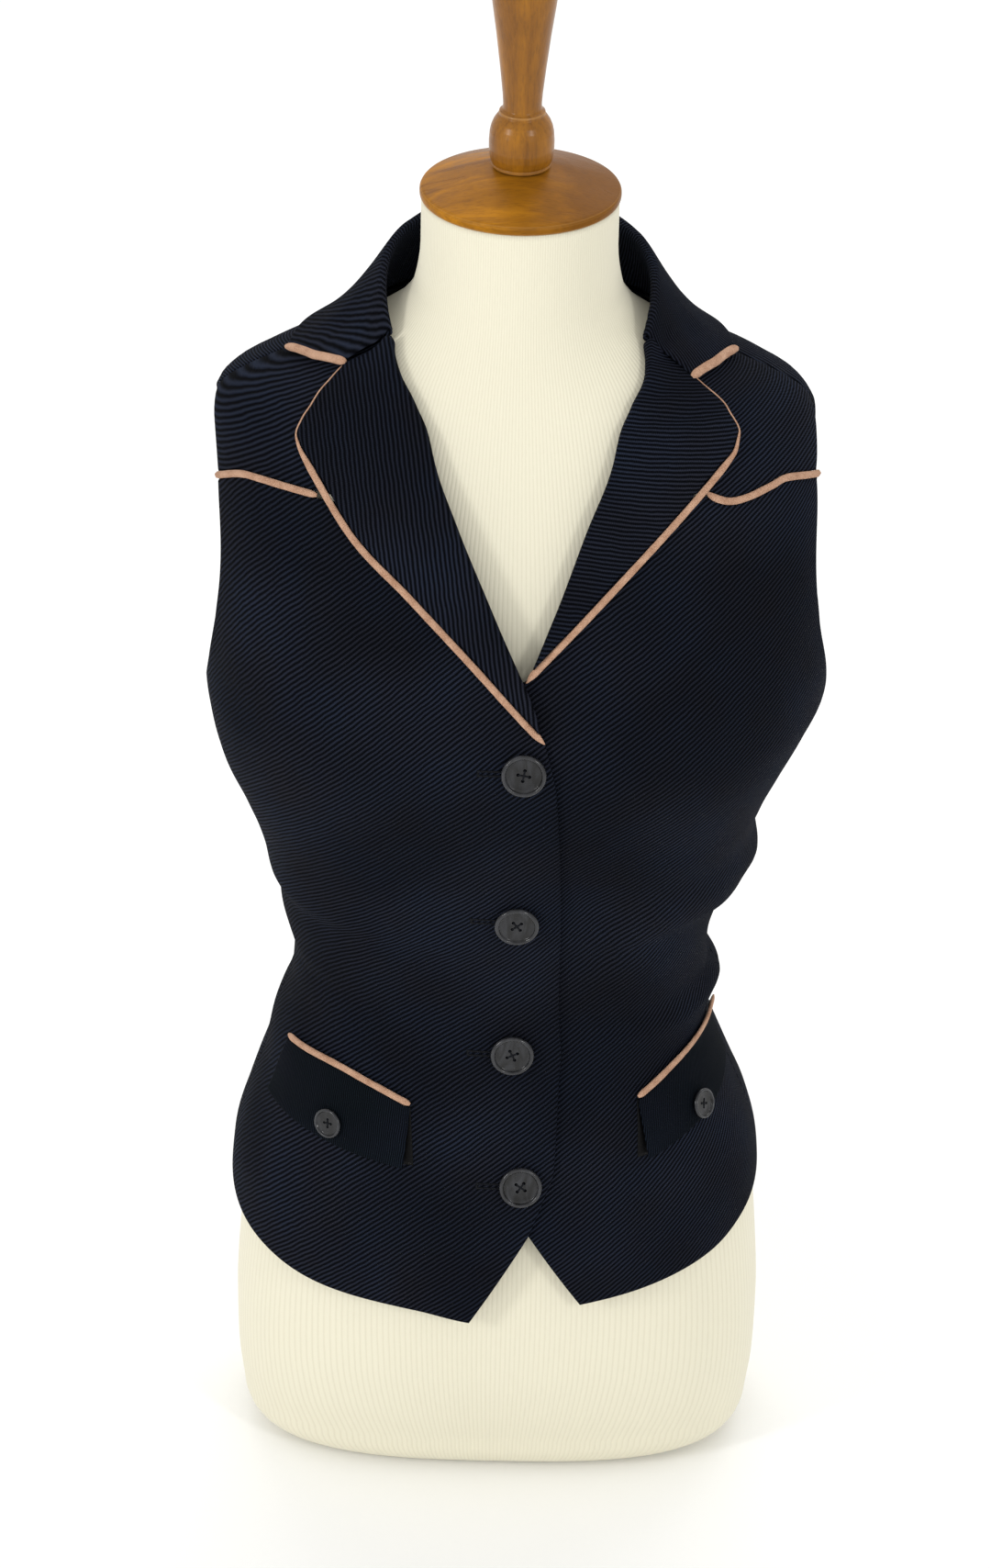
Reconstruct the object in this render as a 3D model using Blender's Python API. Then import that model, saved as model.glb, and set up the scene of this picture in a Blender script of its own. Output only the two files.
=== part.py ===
"""Ranch vest on a limbless dress form with a turned wooden neck cap.

Every cloth piece is a wall of constant thickness on one garment surface, which is a
stack of rounded rings. A place on that surface is an angle round the body (0 at the
front, negative towards the wearer's right) and a height. Sizes are millimetres here
and metres in the scene. The front faces -Y.
"""
import math

import bmesh
import bpy
import numpy as np
from mathutils import Vector
from mathutils.geometry import delaunay_2d_cdt

MM = 0.001

# Driving dimensions
CLOTH = 2.0             # heavy twill with its facing
FLAP_CLOTH = 1.6
COLLAR_CLOTH = 1.8
SEAM = 0.35             # clearance between pieces sewn edge to edge
PIPED_SEAM = 0.65        # and between a piece and its piping
LAY = 0.9               # clearance between a piece and the panel it lies on
PIPING_WIDTH = 4.6
PIPING_HEIGHT = 2.8
SEAM_PIPING_HEIGHT = 3.2
PIPING_STEP = 9.0
YOKE_PIPING_START = 0.45    # share of a step by which it stops short of the armhole
CORD_SECTION = ((1, 0), (0.55, 1), (-0.55, 1), (-1, 0), (-0.55, -1), (0.55, -1))
BUTTON_DIAMETER = 25.0
FLAP_BUTTON_DIAMETER = 18.0
BUTTON_STANDOFF = 0.6
CAP_RADIUS = 55.0       # a common 110 mm neck cap
NECK_TOP = 812.0
BASE_ROUND = 30.0       # rounding of the form's lower edge
CENTRE_X = 3.3          # middle of the whole object's box in the garment's own frame
CENTRE_Y = -12.5
PANEL_STEP = 16.0       # triangle size on the front pieces
BACK_STEP = 22.0
FORM_SEGMENTS = 36

# The form: height, half width, front depth, back depth, roundness of the ring
FORM = (
    (30, 155, 87, 88, 2.9),
    (60, 158, 98, 97, 2.8),
    (95, 158.5, 106, 103, 2.65),
    (140, 156, 109, 107, 2.5),
    (185, 151, 107, 106, 2.4),
    (225, 142, 102, 100, 2.35),
    (260, 127, 97, 93, 2.3),
    (280, 119, 94, 88, 2.25),
    (300, 113.5, 91, 84, 2.2),
    (335, 111, 88, 79, 2.2),
    (375, 114, 90, 79, 2.2),
    (420, 126, 99, 86, 2.25),
    (470, 145, 113, 94, 2.3),
    (520, 161, 120, 102, 2.35),
    (560, 164, 115, 105, 2.4),
    (600, 164, 105, 104, 2.4),
    (640, 163, 91, 99, 2.35),
    (665, 161.5, 82, 92, 2.3),
    (680, 159, 77, 87, 2.25),
    (690, 157, 74, 83, 2.2),
    (698, 152.5, 71.5, 80, 2.15),
    (703, 148, 70, 78, 2.1),
    (709, 139, 68, 75, 2.1),
    (715, 126, 66, 72, 2.05),
    (722, 110, 64, 69.5, 2.05),
    (729.5, 94, 61.5, 66, 2.0),
    (737, 80, 59, 62, 2.0),
    (746, 67, 57, 58.5, 2.0),
    (760, 57.5, 55, 55.5, 2.0),
    (785, 54, 54, 54, 2.0),
    (812, 54, 54, 54, 2.0),
)

# The worn cloth: height, half width on the wearer's right, on the wearer's left,
# front depth, back depth, roundness. The uneven widths round the waist are its folds.
VEST = (
    (120, 160, 155, 119.5, 117, 2.5),
    (165, 162, 156.5, 119, 117, 2.45),
    (195, 160, 155, 117, 115, 2.4),
    (225, 152, 148, 112.5, 109, 2.35),
    (245, 146, 140, 109, 105, 2.3),
    (262, 140.5, 133, 106.5, 101, 2.3),
    (280, 137, 126, 104, 98, 2.25),
    (296, 132, 121.5, 101.5, 94, 2.2),
    (308, 127, 123.5, 100, 92, 2.2),
    (320, 124, 127, 99.5, 90, 2.2),
    (336, 123.5, 119, 99, 88, 2.2),
    (352, 128, 120.5, 100, 88, 2.2),
    (368, 130.5, 123.5, 102.5, 89, 2.2),
    (385, 132, 128, 106, 90.5, 2.2),
    (398, 139, 141, 109.5, 92.5, 2.25),
    (412, 142, 145.5, 113, 94.5, 2.25),
    (428, 146, 143, 117, 96.5, 2.25),
    (450, 154, 149, 122, 99.5, 2.3),
    (475, 165, 160, 128, 104, 2.3),
    (500, 171, 172, 132, 108.5, 2.3),
    (522, 173.5, 180.5, 133, 111.5, 2.3),
    (545, 173, 182, 131, 113, 2.35),
    (570, 171, 180, 125, 113, 2.4),
    (600, 170, 178, 114.5, 111, 2.4),
    (640, 170, 176.5, 99, 105.5, 2.35),
    (665, 169.5, 173.5, 89.5, 98.5, 2.3),
    (682, 169, 169, 83, 92, 2.25),
    (693, 166.5, 164.5, 78.5, 87, 2.2),
    (701, 159.5, 158.5, 74.5, 82.5, 2.15),
    (706.4, 151, 150.5, 72, 79.5, 2.1),
    (712.4, 140, 140, 70, 76.5, 2.1),
    (718.4, 127, 127, 68, 73.5, 2.05),
    (725.4, 111, 111, 66, 71, 2.05),
    (732.9, 95, 95, 63.5, 67.5, 2.0),
    (740.4, 82, 82, 61.5, 64.5, 2.0),
    (749.4, 71, 71, 60, 62, 2.0),
    (760, 64, 64, 59, 60, 2.0),
)

# Bust cups: angle, height, spread round, spread up, rise on the form, rise on the cloth
CUP_ANGLE, CUP_HEIGHT, CUP_ROUND, CUP_UP = 36.0, 516.0, 19.0, 40.0
FORM_CUP, VEST_CUP = 5.0, 6.0

# Front pattern, as seen from the front: x, height
RIGHT_ROLL = ((-66.5, 738), (-59, 723), (-44.4, 692), (-30.2, 656), (-13, 619), (7.9, 576), (18, 551))
LEFT_ROLL = ((69, 738), (64, 719), (53.5, 690.5), (39, 653), (23, 611), (10.5, 581))
RIGHT_LAPEL = ((-93.1, 725.3), (-114.5, 702.5), (-119.3, 693.6), (-116.6, 686.6),
               (-87.1, 645.8), (-53.9, 616.6), (-18.2, 583.2), (19.5, 545.5))
LEFT_LAPEL = ((93.5, 724.4), (113.3, 709.9), (121.5, 698.3), (119.2, 689), (83, 652.2),
              (50.4, 619.8), (30, 599.5), (14, 583.5))
RIGHT_YOKE = ((-165.5, 652), (-152, 663), (-141, 665.4), (-124, 665.5), (-107.5, 664.6))
LEFT_YOKE = ((169.5, 661), (151, 669), (141, 667.8), (128, 665), (118, 664.5), (109.5, 667.5))
RIGHT_EDGE = ((19.5, 545.5), (26.3, 517.5), (31.2, 422), (33.7, 318.5), (31.2, 242.5),
              (17.2, 203), (-16.1, 143.5))
LEFT_EDGE = ((7, 573), (-12, 548), (-12, 300), (-12, 262), (17.2, 203), (49, 154.4))
RIGHT_HEM = ((-16.1, 143.5), (-57.9, 149.6), (-109.4, 155.1), (-142.2, 164.5))
LEFT_HEM = ((49, 154.4), (87.2, 161), (127.5, 171), (147, 181))
RIGHT_SIDE_HEM, LEFT_SIDE_HEM, BACK_HEM = 184, 192, 188

# Front armhole, from the shoulder down: angle, height
ARMHOLE_AT_SEAM = 79.3  # its angle where the yoke seam meets it
ARMHOLE = ((90, 696), (84, 681), (79, 655), (75.5, 605), (77.5, 555), (83, 525), (90, 514))
SIDE_RADIUS = 120.0     # least radii where the side, shoulder and centre seams are parted
SHOULDER_RADIUS = 80.0
NECK_RADIUS = 65.0
YOKE_UNDER_LAPEL = 663.0    # height of the yoke seam under the lapel
SHOULDER_NECK = 740.0   # height of the neckline at the shoulder seam
BACK_NECK = 733.0       # and at the centre back

# Flap pockets: angle, height of the piped upper edge, height of the lower edge
RIGHT_POCKET = ((-28, 283, 243), (-40, 290.3, 245), (-53, 294.9, 248.5), (-70.5, 293, 253))
LEFT_POCKET = ((42.6, 282.7, 245), (52, 289.5, 250), (60, 294.5, 254), (84, 307, 266))
FLAP_FLARE = 3.0        # the outer end slants outwards by this angle
FLAP_STANDS_OFF = 3.0   # how far the inner lower corner has curled away

# Buttons: x, height
FRONT_BUTTONS = ((8.5, 527.4), (6.5, 421.4), (5.7, 321.3), (12.2, 236.2))
RIGHT_FLAP_BUTTON = (-49.8, 259)
LEFT_FLAP_BUTTON = (62.4, 262)

# Lapels: the rolled edge turns down over the panel's edge
LAPEL_SKIRT = 2.4
ROLL_CLEARANCE = 1.8
LAPEL_ROWS = 22
LAPEL_COLUMNS = 5
LAPEL_END = 0.955       # the cloth stops here and the piping runs on to the V's foot
NOTCH_ROWS = (0.0, 0.07, 0.14, 0.19, 0.23)  # shares of the edge that the notch end's rows take
ROLL_SWELL = 2.2        # how far the roll stands above the flat of the lapel
ROLL_SWELL_TOP = 2.2    # and how much more at its top

# Overlap: the right front rises over the left one between these two places
RISE_FROM, RISE_TO = -48.0, -16.0
RISE = CLOTH + LAY

# Collar: angle from the front, radius and height of its fold
FOLD = ((64.8, 78, 745.5), (75, 77, 756), (90, 75, 767), (112, 73, 775), (140, 72, 779), (180, 72, 780))
# Collar outline in plan, from the notch past the point to the centre back: x, y
COLLAR_EDGE = ((92.5, -37), (110, -23.5), (126, -5), (120, 17), (106, 39), (84, 58), (46, 75), (0, 82))
COLLAR_STEP = 15.0
COLLAR_SAG = 7.0
COLLAR_LIFT = 5.0
FOLD_ROUND = 2.4

# Turned wood, radius and height above the top of the neck
CAP_PROFILE = ((0, 0.3), (CAP_RADIUS - 0.8, 0.3), (CAP_RADIUS, 1.2), (CAP_RADIUS, 4.6), (CAP_RADIUS - 1, 5.8),
               (44, 8.8), (30, 13.6), (15, 17.2), (0, 17.6))
FINIAL_PROFILE = ((0, 17.9), (15.4, 17.9), (16.2, 19.6), (17.2, 24), (17.8, 31), (17.4, 38), (15.6, 44),
                  (12.4, 48), (12.6, 49.5), (10.6, 51), (10.7, 56), (12.4, 74), (14.8, 94), (17.9, 116),
                  (17.9, 121), (16.6, 125.5), (13, 129), (7, 131), (0, 131.5))


def monotone(xs, ys):
    """A cubic through the table's points that adds no bumps of its own."""
    xs = np.asarray(xs, float)
    ys = np.asarray(ys, float)
    gap = np.diff(xs)
    slope = np.diff(ys) / gap
    tangent = np.zeros_like(ys)
    for k in range(1, len(xs) - 1):
        if slope[k - 1] * slope[k] > 0:
            before = 2 * gap[k] + gap[k - 1]
            after = gap[k] + 2 * gap[k - 1]
            tangent[k] = (before + after) / (before / slope[k - 1] + after / slope[k])
    tangent[0], tangent[-1] = slope[0], slope[-1]

    def value(x):
        x = np.clip(np.asarray(x, float), xs[0], xs[-1])
        k = np.clip(np.searchsorted(xs, x) - 1, 0, len(gap) - 1)
        t = (x - xs[k]) / gap[k]
        return ((2 * t**3 - 3 * t**2 + 1) * ys[k] + (t**3 - 2 * t**2 + t) * gap[k] * tangent[k]
                + (3 * t**2 - 2 * t**3) * ys[k + 1] + (t**3 - t**2) * gap[k] * tangent[k + 1])
    return value


def columns(table):
    heights = [row[0] for row in table]
    return [monotone(heights, [row[k] for row in table]) for k in range(1, len(table[0]))]


FORM_CURVES = columns(FORM)
VEST_CURVES = columns(VEST)


def ring(phi, right, left, front, back, roundness):
    """Radius of a rounded ring at an angle."""
    side = np.where(np.sin(phi) < 0, right, left)
    depth = np.where(np.cos(phi) > 0, front, back)
    across = np.abs(np.sin(phi) / side) ** roundness
    along = np.abs(np.cos(phi) / depth) ** roundness
    return (across + along) ** (-1 / roundness)


def cup(phi, z, rise):
    off_angle = (np.abs(np.degrees(phi)) - CUP_ANGLE) / CUP_ROUND
    off_height = (z - CUP_HEIGHT) / CUP_UP
    return rise * np.exp(-off_angle**2 - off_height**2)


def form_radius(phi, z):
    width, front, back, roundness = (curve(z) for curve in FORM_CURVES)
    low = np.clip((BASE_ROUND - z) / BASE_ROUND, 0, 1)
    inset = BASE_ROUND * (1 - np.sqrt(1 - low * low))
    return ring(phi, width - inset, width - inset, front - inset, back - inset, roundness) \
        + cup(phi, z, FORM_CUP)


def vest_radius(phi, z):
    return ring(phi, *(curve(z) for curve in VEST_CURVES)) + cup(phi, z, VEST_CUP)


def on_ring(radius, phi, z):
    r = radius(phi, z)
    return np.stack([r * np.sin(phi), -r * np.cos(phi), z + 0 * r], -1)


def cloth(phi, z, lift=0.0):
    """Points on the garment surface, moved out along its normal by lift."""
    phi = np.asarray(phi, float)
    z = np.asarray(z, float)
    point = on_ring(vest_radius, phi, z)
    round_step, up_step = 0.004, 0.5
    d_round = on_ring(vest_radius, phi + round_step, z) - on_ring(vest_radius, phi - round_step, z)
    d_up = on_ring(vest_radius, phi, z + up_step) - on_ring(vest_radius, phi, z - up_step)
    normal = np.cross(d_round, d_up)
    normal /= np.linalg.norm(normal, axis=-1, keepdims=True)
    return point + normal * np.asarray(lift, float)[..., None], normal


def front(x, z):
    """Angle of the front of the garment at a sideways distance and a height."""
    low, high = 0.0, math.radians(89.5)
    for _ in range(40):
        middle = (low + high) / 2
        angle = math.copysign(middle, x)
        if vest_radius(angle, z) * math.sin(middle) < abs(x):
            low = middle
        else:
            high = middle
    return math.copysign((low + high) / 2, x), float(z)


def surface_height(phi, radius):
    """Height at which the shoulder surface has this radius."""
    low, high = 640.0, 758.0
    for _ in range(40):
        middle = (low + high) / 2
        if vest_radius(phi, middle) > radius:
            low = middle
        else:
            high = middle
    return (low + high) / 2


# The pattern plane: u is a distance round the body, v a distance up along the cloth
ROUND_SCALE = 130.0
HEIGHTS = np.arange(120.0, 760.5, 0.5)
SIDE_SLOPE = np.gradient(VEST_CURVES[0](HEIGHTS), HEIGHTS)
ALONG = np.concatenate([[0.0], np.cumsum(np.sqrt(1 + SIDE_SLOPE[1:] ** 2) * 0.5)])


SHOULDER_TURN = np.interp((684, 709), HEIGHTS, ALONG)
WAIST_FOLDS = np.interp((290, 432), HEIGHTS, ALONG)
FOLDS_HALF_ANGLE = math.radians(38)
TURN_SHARE = 0.6


def to_plane(points):
    points = np.asarray(points, float)
    return np.stack([points[:, 0] * ROUND_SCALE, np.interp(points[:, 1], HEIGHTS, ALONG)], -1)


def from_plane(points):
    points = np.asarray(points, float)
    return points[:, 0] / ROUND_SCALE, np.interp(points[:, 1], ALONG, HEIGHTS)


def spline(points, step):
    """A smooth curve through points in any dimension, with a point about every step."""
    points = np.asarray(points, float)
    padded = np.vstack([2 * points[0] - points[1], points, 2 * points[-1] - points[-2]])
    dense = []
    for k in range(1, len(padded) - 2):
        a, b, c, d = padded[k - 1:k + 3]
        for t in np.linspace(0, 1, 24, endpoint=False):
            dense.append(0.5 * (2 * b + (c - a) * t + (2 * a - 5 * b + 4 * c - d) * t**2
                                + (3 * b - a - 3 * c + d) * t**3))
    dense.append(points[-1])
    return resample(np.array(dense), step)


def resample(points, step):
    points = np.asarray(points, float)
    length = np.concatenate([[0], np.cumsum(np.linalg.norm(np.diff(points, axis=0), axis=1))])
    count = max(1, round(length[-1] / step))
    at = np.linspace(0, length[-1], count + 1)
    return np.stack([np.interp(at, length, points[:, k]) for k in range(points.shape[1])], -1)


def fronts(points):
    return [front(x, z) for x, z in points]


def curve(points, step):
    """A curved edge in the pattern plane."""
    return spline(to_plane(points), step)


def polyline(points, step):
    """An edge of straight runs in the pattern plane, keeping its corners."""
    flat = to_plane(points)
    runs = [resample(flat[k:k + 2], step)[:-1] for k in range(len(flat) - 1)]
    return np.vstack(runs + [flat[-1:]])


def beside(path, distance):
    """A path in the pattern plane moved sideways, to its left for a positive distance."""
    along = np.gradient(path, axis=0)
    along /= np.linalg.norm(along, axis=1, keepdims=True)
    return path + np.stack([-along[:, 1], along[:, 0]], -1) * distance


def seam_edge(side, seam, distance, step):
    """Edge of a cloth piece beside the piped yoke seam, from the armhole inwards."""
    path = spline(to_plane(fronts(seam)), 2.0)
    moved = beside(path, distance * -side)
    moved[0, 0] = side * math.radians(ARMHOLE_AT_SEAM) * ROUND_SCALE
    return resample(moved, step)


def loop_of(edges):
    """One closed outline from edges that share their end points."""
    return np.vstack([edge[:-1] for edge in edges])


def inside(points, loop):
    result = np.zeros(len(points), bool)
    for (ax, ay), (bx, by) in zip(loop, np.roll(loop, -1, 0)):
        crosses = (ay > points[:, 1]) != (by > points[:, 1])
        if ay != by:
            result ^= crosses & (points[:, 0] < (bx - ax) * (points[:, 1] - ay) / (by - ay) + ax)
    return result


def room(points, path):
    """Distance from plane points to an open path."""
    best = np.full(len(points), np.inf)
    for a, b in zip(path[:-1], path[1:]):
        run = b - a
        t = np.clip(((points - a) @ run) / max(run @ run, 1e-9), 0, 1)
        best = np.minimum(best, np.linalg.norm(points - (a + t[:, None] * run), axis=1))
    return best


def hexagonal(low, high, step):
    """Rows of points a step apart over a box of the pattern plane."""
    row = step * math.sqrt(3) / 2
    return [(low[0] + step * (i + 0.5 * (j % 2)), low[1] + row * j)
            for j in range(int((high[1] - low[1]) / row) + 2)
            for i in range(int((high[0] - low[0]) / step) + 2)]


def in_turn(points):
    """Where the cloth turns over the end of the shoulder, or folds at the left of the waist."""
    shoulder = (points[:, 1] > SHOULDER_TURN[0]) & (points[:, 1] < SHOULDER_TURN[1])
    waist = (points[:, 1] > WAIST_FOLDS[0]) & (points[:, 1] < WAIST_FOLDS[1])
    side = np.abs(points[:, 0] / ROUND_SCALE - math.pi / 2) < FOLDS_HALF_ANGLE
    return shoulder | (waist & side)


def split_in_turn(loop, step):
    """An outline with its long edges halved in the shoulder's turn."""
    after = np.roll(loop, -1, 0)
    middle = (loop + after) / 2
    long = np.linalg.norm(after - loop, axis=1) > 0.6 * step
    points = []
    for point, half, cut in zip(loop, middle, long & in_turn(middle)):
        points.append(point)
        if cut:
            points.append(half)
    return np.array(points)


def triangulate(loop, step):
    """Plane points and triangles that fill a closed outline."""
    loop = split_in_turn(loop, step)
    low, high = loop.min(0), loop.max(0)
    coarse = np.array(hexagonal(low, high, step))
    fine = np.array(hexagonal(low, high, step * TURN_SHARE))
    grids = []
    for grid, spacing in ((coarse[~in_turn(coarse)], step), (fine[in_turn(fine)], step * TURN_SHARE)):
        grid = grid[inside(grid, loop)]
        grids.append(grid[room(grid, np.vstack([loop, loop[:1]])) > 0.55 * spacing])
    points = np.vstack([loop] + grids)
    count = len(loop)
    edges = [(k, (k + 1) % count) for k in range(count)]
    found = delaunay_2d_cdt([Vector(p) for p in points.tolist()], edges, [], 1, 1e-6)
    return np.array([tuple(v) for v in found[0]]), [tuple(f) for f in found[2]]


def border(faces):
    """Directed edges that belong to one face only."""
    seen = {}
    for face in faces:
        for a, b in zip(face, face[1:] + face[:1]):
            seen[(a, b)] = True
    return [edge for edge in seen if (edge[1], edge[0]) not in seen]


def wall(outer, inner, faces):
    """A closed wall between two layers of points that share their faces."""
    count = len(outer)
    points = np.vstack([outer, inner])
    solid = list(faces)
    solid += [tuple(count + k for k in reversed(face)) for face in faces]
    solid += [(b, a, count + a, count + b) for a, b in border(faces)]
    return points, solid


def add_object(name, points, faces, material):
    mesh = bpy.data.meshes.new(name)
    bm = bmesh.new()
    for point in points:
        bm.verts.new(Vector(point) * MM)
    bm.verts.ensure_lookup_table()
    for face in faces:
        bm.faces.new([bm.verts[k] for k in face])
    bmesh.ops.recalc_face_normals(bm, faces=bm.faces)
    bmesh.ops.triangulate(bm, faces=[f for f in bm.faces if len(f.verts) > 3])
    bm.to_mesh(mesh)
    bm.free()
    mesh.materials.append(material)
    mesh.shade_smooth()
    mesh.set_sharp_from_angle(angle=math.radians(40))
    obj = bpy.data.objects.new(name, mesh)
    bpy.context.scene.collection.objects.link(obj)
    obj.parent = STAND
    return obj


def panel(name, edges, material, step, lift=lambda phi, z: 0 * phi, thickness=CLOTH):
    """A cloth piece cut to an outline in the pattern plane."""
    flat, faces = triangulate(loop_of(edges), step)
    phi, z = from_plane(flat)
    outer = cloth(phi, z, lift(phi, z))[0]
    inner = cloth(phi, z, lift(phi, z) - thickness)[0]
    return add_object(name, *wall(outer, inner, faces), material)


def grid_faces(rows, cols):
    return [(i * cols + j, i * cols + j + 1, (i + 1) * cols + j + 1, (i + 1) * cols + j)
            for i in range(rows - 1) for j in range(cols - 1)]


def grid_wall(name, outer, inner, material):
    """A closed wall between two grids of points."""
    rows, cols = outer.shape[:2]
    faces = grid_faces(rows, cols)
    return add_object(name, *wall(outer.reshape(-1, 3), inner.reshape(-1, 3), faces), material)


def cord(name, centre, normal, material, width, height):
    """A flattened cord along points, with its flat side across the normals."""
    along = np.gradient(centre, axis=0)
    along /= np.linalg.norm(along, axis=1, keepdims=True)
    across = np.cross(along, normal)
    across /= np.linalg.norm(across, axis=1, keepdims=True)
    points = np.stack([centre + across * width / 2 * sideways + normal * height / 2 * up
                       for sideways, up in CORD_SECTION], 1)
    count = len(CORD_SECTION)
    faces = [(i * count + j, i * count + (j + 1) % count, (i + 1) * count + (j + 1) % count,
              (i + 1) * count + j) for i in range(len(centre) - 1) for j in range(count)]
    last = (len(centre) - 1) * count
    faces.append(tuple(reversed(range(count))))
    faces.append(tuple(range(last, last + count)))
    return add_object(name, points.reshape(-1, 3), faces, material)


def piping(name, path, material, lift, height=PIPING_HEIGHT):
    """A cord laid along a path of the pattern plane."""
    phi, z = from_plane(path)
    centre, normal = cloth(phi, z, lift(phi, z))
    return cord(name, centre, normal, material, PIPING_WIDTH, height)


def turned(name, profile, segments, material, origin=(0, 0, 0), axis=(0, 0, 1)):
    """A solid of revolution whose profile starts and ends on its axis."""
    turn = Vector((0, 0, 1)).rotation_difference(Vector(axis)).to_matrix()
    points = [Vector((0, 0, profile[0][1]))]
    for radius, height in profile[1:-1]:
        for k in range(segments):
            angle = 2 * math.pi * k / segments
            points.append(Vector((radius * math.cos(angle), radius * math.sin(angle), height)))
    points.append(Vector((0, 0, profile[-1][1])))
    rings = len(profile) - 2
    faces = [(0, 1 + (k + 1) % segments, 1 + k) for k in range(segments)]
    for i in range(rings - 1):
        for k in range(segments):
            a = 1 + i * segments + k
            b = 1 + i * segments + (k + 1) % segments
            faces.append((a, b, b + segments, a + segments))
    top = len(points) - 1
    first = 1 + (rings - 1) * segments
    faces += [(first + k, first + (k + 1) % segments, top) for k in range(segments)]
    placed = [turn @ p + Vector(origin) for p in points]
    return add_object(name, [tuple(p) for p in placed], faces, material)


def rise_over(phi, z):
    """How far the right front lies above the garment surface."""
    x = vest_radius(phi, z) * np.sin(phi)
    t = np.clip((x - RISE_FROM) / (RISE_TO - RISE_FROM), 0, 1)
    return RISE * t * t * (3 - 2 * t)


def flat_lift(phi, z):
    return 0 * phi


def dress_form(material):
    heights = [0, 3, 9, 18, 30, 60, 95, 140, 185, 225, 260, 300, 335, 375, 420, 470, 520, 560,
               600, 640, 665, 682, 692, 700, 706, 713, 722, 731, 741, 752, 768, 790, NECK_TOP]
    angles = np.linspace(-math.pi, math.pi, FORM_SEGMENTS, endpoint=False)
    points = np.vstack([on_ring(form_radius, angles, np.full(FORM_SEGMENTS, float(z))) for z in heights])
    faces = []
    for i in range(len(heights) - 1):
        for k in range(FORM_SEGMENTS):
            a = i * FORM_SEGMENTS + k
            b = i * FORM_SEGMENTS + (k + 1) % FORM_SEGMENTS
            faces.append((a, b, b + FORM_SEGMENTS, a + FORM_SEGMENTS))
    faces.append(tuple(reversed(range(FORM_SEGMENTS))))
    top = (len(heights) - 1) * FORM_SEGMENTS
    faces.append(tuple(range(top, top + FORM_SEGMENTS)))
    return add_object("form_torso", points, faces, material)


def shift(points, dx):
    return [(x + dx, z) for x, z in points]


def armhole(side, back=False):
    """Armhole edge of the front or back, from the shoulder seam down to the side seam."""
    def angle(a):
        a = 180 - a if back else a
        return math.radians(side * a)
    nudge = SEAM / 2 / SIDE_RADIUS * (1 if back else -1)
    return [(angle(a) + side * (nudge if a == 90 else 0), z) for a, z in ARMHOLE]


def at_height(points, height):
    """Point of a front edge at a height."""
    xs = [p[0] for p in points]
    zs = [p[1] for p in points]
    return float(np.interp(height, zs[::-1], xs[::-1])), height


def straight(a, b):
    """A straight edge between two points of the pattern plane."""
    return resample(np.array([a, b]), PANEL_STEP)


def yoke_piece(name, side, roll, seam, material):
    """Front shoulder piece from the shoulder seam down to the piped yoke seam."""
    seam_path = seam_edge(side, seam, PIPING_WIDTH / 2 + PIPED_SEAM, PIPING_STEP)
    v_edge = shift(roll, side * (LAPEL_SKIRT + ROLL_CLEARANCE))
    low = at_height(v_edge, YOKE_UNDER_LAPEL + SEAM / 2)
    upper = [point for point in v_edge if point[1] > low[1] + 8]
    nudge = SEAM / 2 / SHOULDER_RADIUS
    hole = [point for point in armhole(side) if point[1] > seam[0][1] + 10]
    shoulder_neck = (side * (math.pi / 2 - nudge), SHOULDER_NECK)
    low_flat = to_plane([front(*low)])[0]
    edges = [
        curve(fronts(upper + [low]), PANEL_STEP),
        straight(low_flat, seam_path[-1]),
        seam_path[::-1],
        spline(np.vstack([seam_path[:1], to_plane(hole[::-1])]), PANEL_STEP),
        polyline([hole[0], shoulder_neck], PANEL_STEP),
        polyline([shoulder_neck, front(*upper[0])], PANEL_STEP),
    ]
    return panel(name, edges, material, PANEL_STEP)


def front_piece(name, side, roll, seam, edge, hem, side_hem, lift, material):
    """Lower front from the yoke seam to the hem. The edge runs from the V down to the hem."""
    seam_path = seam_edge(side, seam, -PIPING_WIDTH / 2 - PIPED_SEAM, PIPING_STEP)
    v_edge = shift(roll, side * (LAPEL_SKIRT + ROLL_CLEARANCE))
    top = at_height(v_edge, YOKE_UNDER_LAPEL - SEAM / 2)
    lower = [point for point in v_edge if point[1] < top[1] - 8]
    hole = [point for point in armhole(side) if point[1] < seam[0][1] - 10]
    side_seam = (hole[-1][0], float(side_hem))
    top_flat = to_plane([front(*top)])[0]
    edges = [
        curve([side_seam] + fronts(reversed(hem)), PANEL_STEP),
        polyline(fronts(reversed(edge)), PANEL_STEP),
        polyline([front(*edge[0]), front(*lower[-1])], PANEL_STEP),
        curve(fronts([top] + lower), PANEL_STEP)[::-1],
        straight(top_flat, seam_path[-1]),
        seam_path[::-1],
        spline(np.vstack([seam_path[:1], to_plane(hole)]), PANEL_STEP),
        polyline([hole[-1], side_seam], PANEL_STEP),
    ]
    return panel(name, edges, material, PANEL_STEP, lift)


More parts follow.
